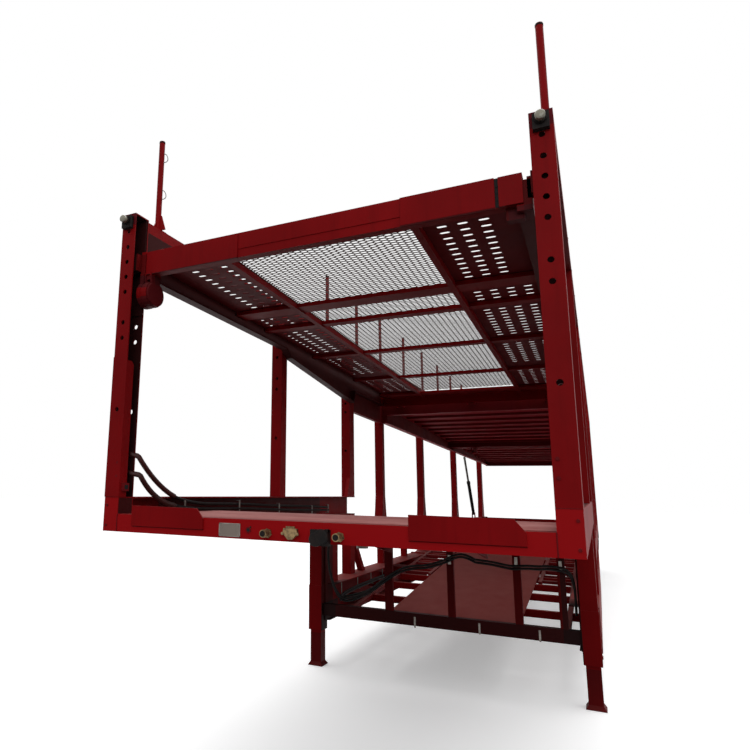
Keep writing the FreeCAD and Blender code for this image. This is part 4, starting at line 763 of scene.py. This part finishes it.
def marker_lamps():
    """Black boxes on the posts with a round pale lens each."""
    y, z = HALF - 0.052, POST_TOP - 0.056
    depth, half_wide = 0.030, 0.036
    body, lenses = Shape(), Shape()
    for side in (RIGHT, LEFT):
        body.box((FACE_X, side * y - half_wide, POST_TOP - 0.104),
                 (FACE_X + depth, side * y + half_wide, POST_TOP - 0.024))
        body.disc((FACE_X + depth, side * y, z), AHEAD, 0.028, 0.012, 32)
        lenses.disc((FACE_X + 0.042, side * y, z), AHEAD, 0.0228, 0.024, 32, 0.006)
    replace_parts(body.make("lamp_bodies", "black_rubber", "trailer"), "marker_lamps")
    lenses.make("lamp_lenses", "lamp_white", "trailer", True)


deck_frame()
ladder_tracks()
label_plate()
couplings()
coupling_cover()
weld_lines()
marker_lamps()

# ------------------------------------------------------------------ clips, straps and air lines
CLIP_D = (0.632, 1.352, 2.031, 2.732, 3.134)
CLIP_Z = (1.532, 1.531, 1.502, 1.475, 1.478)


def rail_clips():
    """C-shaped clips that hold the upper lines to the right rail, with a screw each."""
    s = Shape()
    y = -POST_IN
    for d, z in zip(CLIP_D, CLIP_Z):
        for out0, out1, z0, z1 in ((0.0, 0.026, -0.042, -0.038), (0.0, 0.026, 0.038, 0.042),
                                   (0.024, 0.027, -0.042, 0.042)):
            s.box((at(d) - 0.009, y + out0, z + z0), (at(d) + 0.009, y + out1, z + z1))
        s.disc((at(d), y + 0.026, z + 0.030), ACROSS, 0.006, 0.004, 6)
    s.make("hose_clips", "bare_steel", "trailer")


def step_straps():
    """Pale straps on the step frame, where the hoses and the cable are tied."""
    s = Shape()
    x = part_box("step_frame")[1][0]
    for y, z in ((-0.226, 0.494), (0.338, 0.502), (0.820, 0.500)):
        s.box((x, y - 0.008, z - 0.046), (x + 0.003, y + 0.008, z + 0.046))
    for y, z in ((0.666, 1.082), (1.010, 1.072), (0.105, 1.066)):
        s.box((x, y - 0.012, z - 0.040), (x + 0.020, y + 0.012, z + 0.040))
    s.make("step_straps", "bare_steel", "trailer")


LINE_SIDE = -POST_IN + 0.012
STEP = 2.950            # plane in which the lines cross the step
RAIL_HOSE = -1.060      # y of the cross line beside the lower rail; the solid's runs at -0.625
# routes (d, y, z) of the held air lines
AIR_LINES = (
    ((0.150, LINE_SIDE, 1.839), (0.290, LINE_SIDE, 1.700), (0.634, LINE_SIDE, 1.550),
     (1.370, LINE_SIDE, 1.545), (2.054, LINE_SIDE, 1.520), (2.725, LINE_SIDE, 1.509),
     (3.165, LINE_SIDE, 1.490)),
    ((0.150, LINE_SIDE + 0.020, 1.724), (0.270, LINE_SIDE + 0.020, 1.590), (0.634, LINE_SIDE + 0.008, 1.516),
     (1.370, LINE_SIDE + 0.008, 1.511), (2.054, LINE_SIDE + 0.008, 1.486), (2.725, LINE_SIDE + 0.008, 1.470),
     (3.165, LINE_SIDE + 0.008, 1.462)),
    ((STEP, 0.105, 1.082), (STEP, 0.028, 1.044), (STEP, -0.108, 1.000), (STEP, -0.228, 0.991),
     (STEP, -0.341, 0.957), (STEP, -0.437, 0.896), (STEP, -0.535, 0.826), (STEP + 0.015, -0.634, 0.746),
     (STEP + 0.075, -0.800, 0.680), (STEP + 0.145, -0.964, 0.634), (3.200, RAIL_HOSE, 0.596),
     (3.500, RAIL_HOSE, 0.656), (4.700, RAIL_HOSE, 0.657)),
    ((STEP, 0.330, 1.082), (STEP, 0.460, 1.074), (STEP, 0.540, 1.060), (STEP, 0.644, 1.044),
     (STEP, 0.741, 1.060), (STEP, 0.834, 1.058), (STEP, 0.919, 1.068), (STEP, 1.040, 1.058),
     (STEP + 0.015, 1.085, 1.020), (STEP + 0.045, 1.104, 0.940), (STEP + 0.070, 1.106, 0.840),
     (STEP + 0.110, 1.102, 0.700)),
)
# how the lines go on behind the beam: between the two upper ends, and down beside the right leg
BRIDGE = ((STEP, 0.105, 1.082), (STEP, 0.160, 1.112), (STEP, 0.220, 1.122), (STEP, 0.280, 1.108),
          (STEP, 0.330, 1.082))
LEG_LINE = ((STEP, -1.000, 1.235), (STEP, -1.062, 1.150), (STEP, -1.068, 1.054), (STEP, -1.060, 0.940),
            (STEP, -1.031, 0.821), (STEP + 0.005, -0.990, 0.710), (STEP + 0.020, -0.925, 0.635),
            (STEP + 0.045, -0.840, 0.645), (STEP + 0.050, -0.740, 0.690), (STEP + 0.015, -0.634, 0.746))
UPPER_LINES = 2         # routes beside the right rail; the others are double, one hose below the other
LINE_R, SLEEVE_R = 0.0105, 0.0165


def on_spline(route):
    """Points of the smooth curve that a route's points lead."""
    curve = bpy.data.curves.new("route", "CURVE")
    curve.dimensions = "3D"
    spline = curve.splines.new("NURBS")
    spline.points.add(len(route) - 1)
    for point, (x, y, z) in zip(spline.points, route):
        point.co = (x, y, z, 1)
    spline.order_u = 3
    spline.use_endpoint_u = True
    spline.resolution_u = 8
    o = bpy.data.objects.new("route", curve)
    return [tuple(v.co) for v in bpy.data.meshes.new_from_object(o).vertices]


def air_lines():
    s, sleeves, hangers = Shape(), Shape(), Shape()
    for k, route in enumerate(AIR_LINES + (BRIDGE, LEG_LINE)):
        line = on_spline([(at(d), y, z) for d, y, z in route])
        s.tube(line, LINE_R, 12)
        if k >= UPPER_LINES:
            s.tube([(x - 0.004, y, z - 0.024) for x, y, z in line], LINE_R, 12)
        else:
            x, y, z = line[0]
            into_post = [(at(0.112), -1.205, z + 0.016), (at(0.126), -1.190, z + 0.015),
                         (x + 0.006, y - 0.008, z + 0.007)]
            sleeves.tube(into_post + line[:max(3, len(line) // 4)], SLEEVE_R, 12)
    o = s.make("air_hoses", "black_rubber", "trailer", True)
    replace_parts(o, "air_lines")
    sleeves.make("hose_sleeves", "sleeve", "trailer", True)
    for d in (3.32, 3.80, 4.25, 4.68):
        z = 0.62 + min(0.036, (d - 3.2) * 0.2)
        hangers.block(d - 0.010, d + 0.010, RAIL_HOSE - 0.014, RAIL_HOSE - 0.011, z - 0.040, 0.748)
        hangers.block(d - 0.010, d + 0.010, RAIL_HOSE - 0.014, RAIL_HOSE + 0.014, z - 0.042, z - 0.038)
    hangers.make("hose_hangers", "bare_steel", "trailer")


# ------------------------------------------------------------------ guard posts and post heads
GUARD_PLACES = (0.300, 3.330, 4.290, 5.250, 6.430, 7.600, 8.780, 9.960, 11.140, 12.320, 13.400)
GUARD_Y = HALF - 0.040
GUARD_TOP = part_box("guard_posts")[1][2]
FOOT_HALF, FOOT_WIDE, FOOT_THICK = 0.055, 0.034, 0.007


def guard_feet():
    """A small plate and two gussets at the foot of every guard post."""
    s, caps = Shape(), Shape()
    for d in GUARD_PLACES:
        for side in (RIGHT, LEFT):
            x, yc = at(d), side * GUARD_Y
            s.box((x - FOOT_HALF, yc - FOOT_WIDE, POST_TOP),
                  (x + FOOT_HALF, yc + FOOT_WIDE, POST_TOP + FOOT_THICK))
            for turn in (-1, 1):
                corners = ((x + turn * 0.018, 0.006), (x + turn * 0.052, 0.006), (x + turn * 0.018, 0.075))
                s.add([(cx, yc + dy, POST_TOP + dz) for dy in (-0.004, 0.004) for cx, dz in corners],
                      [(0, 1, 2), (5, 4, 3), (0, 3, 4, 1), (1, 4, 5, 2), (2, 5, 3, 0)])
            caps.disc((x, yc, GUARD_TOP - 0.014), UPWARD, 0.0212, 0.010, 20, 0.003)
    # the foremost right post has a plate that slopes inward
    x, yc = at(GUARD_PLACES[0]), -GUARD_Y
    slope = ((0.012, 0.115), (0.030, 0.113), (0.066, 0.006), (0.012, 0.006))
    s.add([(x + dx, yc + dy, POST_TOP + dz) for dx in (-0.004, 0.004) for dy, dz in slope],
          [(0, 1, 2, 3), (7, 6, 5, 4), (0, 4, 5, 1), (1, 5, 6, 2), (2, 6, 7, 3), (3, 7, 4, 0)])
    s.make("guard_feet", "red_paint", "trailer")
    caps.make("guard_caps", "black_rubber", "trailer", True)


def post_heads():
    """Gussets under the cant rails and the liners that close the posts' upper holes, both darkened there by
    painted shade.
    """
    s = Shape()
    for side in (RIGHT, LEFT):
        s.prism([(0.130, POST_TOP - 0.070), (0.420, POST_TOP - 0.070), (0.130, POST_TOP - 0.225)],
                side * 1.195, side * 1.203)
        s.block(0.112, 0.121, side * 1.176, side * 1.266, 2.740, POST_TOP - 0.010)
    s.make("post_heads", "red_paint", "trailer")


def rope_loops():
    """Two wire loops on the foremost right guard post."""
    s = Shape()
    x = at(GUARD_PLACES[0])
    loop = ((0.018, 0.0), (0.034, -0.006), (0.050, -0.026), (0.058, -0.050), (0.054, -0.066), (0.038, -0.072),
            (0.018, -0.070))
    for z in (3.985, 3.705):
        s.tube(on_spline([(x, -GUARD_Y + out, z + dz) for out, dz in loop]), 0.0032, 8)
    s.make("rope_loops", "wire_rope", "trailer", True)


def post_bolts():
    """Bolts on the front posts, and the latch block beside the right one, with a black patch of painted shade
    in its eye.
    """
    s, eye_shade = Shape(), Shape()
    for side in (RIGHT, LEFT):
        y = side * (POST_IN + HALF) / 2
        for z in (1.72, 1.80):
            s.disc((FACE_X + 0.0002, y - side * 0.030, z), AHEAD, 0.0085, 0.005, 6)
        for z in (1.435, 1.55):
            s.disc((FACE_X - 0.001, side * (HALF - 0.022), z), AHEAD, 0.008, 0.005, 6)
    s.block(0.015, 0.065, -1.166, -1.150, 1.632, 1.680)
    s.make("post_bolts", "dark_red_deck", "trailer")
    # painted shade: a black patch for the latch's eye
    eye_shade.block(0.026, 0.054, -1.150, -1.148, 1.644, 1.668)
    eye_shade.make("latch_eye_shade", "black_paint", "trailer")


rail_clips()
step_straps()
air_lines()
guard_feet()
post_heads()
rope_loops()
post_bolts()

# ------------------------------------------------------------------ plates on the front deck's beam
BEAM_X = at(BEAM_FRONT)
PLATE_ENDS = ((-BEAM_END, -0.442), (0.534, 0.996))      # the two wide plates
OVERLAYS = (
    # y from, y to, z from, z to, proud
    (-1.158, -1.126, 2.996, 3.146, 0.012),
    (*PLATE_ENDS[0], 2.994, 3.143, 0.009),
    (-0.440, 0.532, 3.046, 3.136, 0.004),
    (*PLATE_ENDS[1], 2.996, 3.148, 0.010),
    (1.014, BEAM_END, 2.994, 3.146, 0.012),
)
GAP, GAP_Z = (0.997, 1.013), (2.996, 3.146)     # between the last two plates


def beam_plates():
    """Plates on the front of the beam, a black sheet of painted shade in the gap between two of them, and
    their lower lip.
    """
    s, gap_shade, lip = Shape(), Shape(), Shape()
    for y0, y1, z0, z1, proud in OVERLAYS:
        s.box((BEAM_X, y0, z0), (BEAM_X + proud, y1, z1))
    s.make("beam_plates", "red_paint", "front_deck")
    # painted shade: a black sheet fills the gap, with three dark discs on it
    gap_shade.box((BEAM_X, GAP[0], GAP_Z[0]), (BEAM_X + 0.002, GAP[1], GAP_Z[1]))
    for z in (3.036, 3.072, 3.105):
        gap_shade.disc((BEAM_X + 0.001, 1.005, z), AHEAD, 0.006, 0.003, 8)
    gap_shade.make("beam_gap_shade", "black_paint", "front_deck")
    for y0, y1 in PLATE_ENDS:
        lip.box((BEAM_X - 0.004, y0, 2.990), (BEAM_X + 0.010, y1, 2.9945))
    lip.make("beam_lip", "dark_red_deck", "front_deck")


beam_plates()

# ------------------------------------------------------------------ wheels
TYRE_R = 0.420
TWIN_Y = (0.838, 1.124)     # middles of the twin tyres
BEAD_R, BEAD_Y = 0.262, 0.100
TREAD = (
    # radius, distance from the middle of the tyre
    (BEAD_R, -BEAD_Y), (0.275, -0.112), (0.310, -0.1215), (0.335, -0.1225), (0.341, -0.1205),
    (0.347, -0.1222), (0.372, -0.119), (0.398, -0.110), (0.412, -0.098),
    (0.417, -0.088), (0.418, -0.062), (0.406, -0.060), (0.406, -0.052), (0.4185, -0.050),
    (0.4195, -0.024), (0.407, -0.022), (0.407, -0.014), (0.4195, -0.012),
)
PROFILE = TREAD + tuple((r, -y) for r, y in reversed(TREAD))
GROOVE = 0.006
SHOULDER = {8, 9, 10, 13, 14, 21, 22, 25, 26, 27}      # points of the profile that the grooves cut
STEPS = 120


def tyre_groove(k, i):
    return GROOVE if i in SHOULDER and k % 4 == 0 else 0.0


def tyre_pair(node, body, x, side):
    s = Shape()
    for mid in TWIN_Y:
        profile = [(r, side * (mid + y)) for r, y in PROFILE] + [(BEAD_R, side * (mid - BEAD_Y))]
        s.lathe((x, TYRE_R), profile, STEPS, tyre_groove)
    o = s.make("tread_" + node, "tyre", body, True)
    o.data.set_sharp_from_angle(angle=math.radians(32))
    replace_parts(o, node)


for node in sorted(n for n in nodes if n.startswith("tyres_")):
    lo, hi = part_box(node)
    tyre_pair(node, node.replace("tyres_", "wheels_"), (lo[0] + hi[0]) / 2, LEFT if hi[1] > 0 else RIGHT)

# ------------------------------------------------------------------ tread strips of the plated decks
PLATE_FRONT = (5.060, 2.805)
PLATE_SLOPE = (2.470 - 2.800) / (13.640 - 5.060)
MID_STRIPS_FROM = 5.20
STRIP_PITCH, STRIP_END, STRIP_HALF = 0.115, 0.15, 0.004


def deck_strips():
    """Raised anti-slip strips on both wheel tracks of a plated deck."""
    for node, body in (("mid_deck", "trailer"), ("rear_deck", "rear_deck")):
        lo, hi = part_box(node)
        s = Shape()
        d0, d1 = (MID_STRIPS_FROM if node == "mid_deck" else FACE_X - hi[0]), FACE_X - lo[0]
        run = d1 - d0 - 2 * STRIP_END
        count = int(run / STRIP_PITCH)
        for k in range(count):
            d = d0 + STRIP_END + k * run / (count - 1)
            z = PLATE_FRONT[1] + (d - PLATE_FRONT[0]) * PLATE_SLOPE
            for y0, y1 in ((-1.00, -0.58), (0.58, 1.00)):
                s.box((at(d) - STRIP_HALF, y0, z), (at(d) + STRIP_HALF, y1, z + 0.004))
        s.make("deck_strips_" + body, "dark_red_deck", body)


deck_strips()

# ------------------------------------------------------------------ floor, sky and lamps
WHITE = (1.0, 1.0, 1.0)
FLOOR_GLOW = 0.35      # so that the floor reads as white as the backdrop
SKY = ((0.0, (0.30, 0.303, 0.309)), (0.4, (0.62, 0.6262, 0.6386)), (1.0, WHITE))    # from the horizon up

bpy.ops.mesh.primitive_plane_add(size=140, location=(0, 0, -0.002))
floor = bpy.context.object
floor.name = "studio_floor"
ground = Material("studio_floor")
ground.surface({"Base Color": ground.seen((0.93, 0.93, 0.93), (0.06, 0.058, 0.058)), "Roughness": 0.95,
                "Specular IOR Level": 0.0, "Emission Color": WHITE,
                "Emission Strength": ground.seen(grey(FLOOR_GLOW), grey(0.0))})
floor.data.materials.append(ground.mat)

world = bpy.data.worlds.new("studio")
bpy.context.scene.world = world
world.use_nodes = True
air = Tree(world.node_tree)
height = air.split(air.add("ShaderNodeTexCoord").outputs["Generated"])[2]
sky = air.ramp(height, SKY)
background = world.node_tree.nodes["Background"]
background.inputs["Strength"].default_value = 1.0
air.link(air.seen(WHITE, sky), background.inputs["Color"])


def area(name, loc, target, size, power):
    data = bpy.data.lights.new(name, "AREA")
    data.shape = "RECTANGLE"
    data.size, data.size_y = size
    data.energy = power
    o = bpy.data.objects.new(name, data)
    bpy.context.scene.collection.objects.link(o)
    o.location = loc
    o.rotation_euler = (Vector(target) - Vector(loc)).to_track_quat("-Z", "Y").to_euler()


area("sky_panel", (2.0, 0.0, 11.0), (0, 0, 0), (18.0, 9.0), 900)
area("front_panel", (15.0, 3.5, 5.5), (6.0, 0, 1.6), (6.0, 4.0), 260)

# ------------------------------------------------------------------ camera, solved from the photograph
SIDE_PX, FOCAL_PX, CENTRE = 750.0, 605.456, (271.77, 376.27)
EYE = Vector((at(-2.796), 1.332, 1.649))
YAW, PITCH, ROLL = math.radians(28.07), math.radians(10.70), math.radians(0.98)

look = Vector((-math.cos(PITCH) * math.cos(YAW), -math.cos(PITCH) * math.sin(YAW), math.sin(PITCH)))
level = look.cross(Vector(UPWARD)).normalized()
steep = level.cross(look)
right = math.cos(ROLL) * level + math.sin(ROLL) * steep
up = math.cos(ROLL) * steep - math.sin(ROLL) * level
cam_data = bpy.data.cameras.new("camera")
cam_data.sensor_width = 36.0
cam_data.lens = FOCAL_PX * cam_data.sensor_width / SIDE_PX
cam_data.shift_x = (SIDE_PX / 2 - CENTRE[0]) / SIDE_PX
cam_data.shift_y = (CENTRE[1] - SIDE_PX / 2) / SIDE_PX
cam_data.clip_end = 300
cam = bpy.data.objects.new("camera", cam_data)
bpy.context.scene.collection.objects.link(cam)
cam.matrix_world = Matrix.Translation(EYE) @ Matrix((right, up, -look)).transposed().to_4x4()
bpy.context.scene.camera = cam
bpy.context.scene.view_settings.view_transform = "Standard"
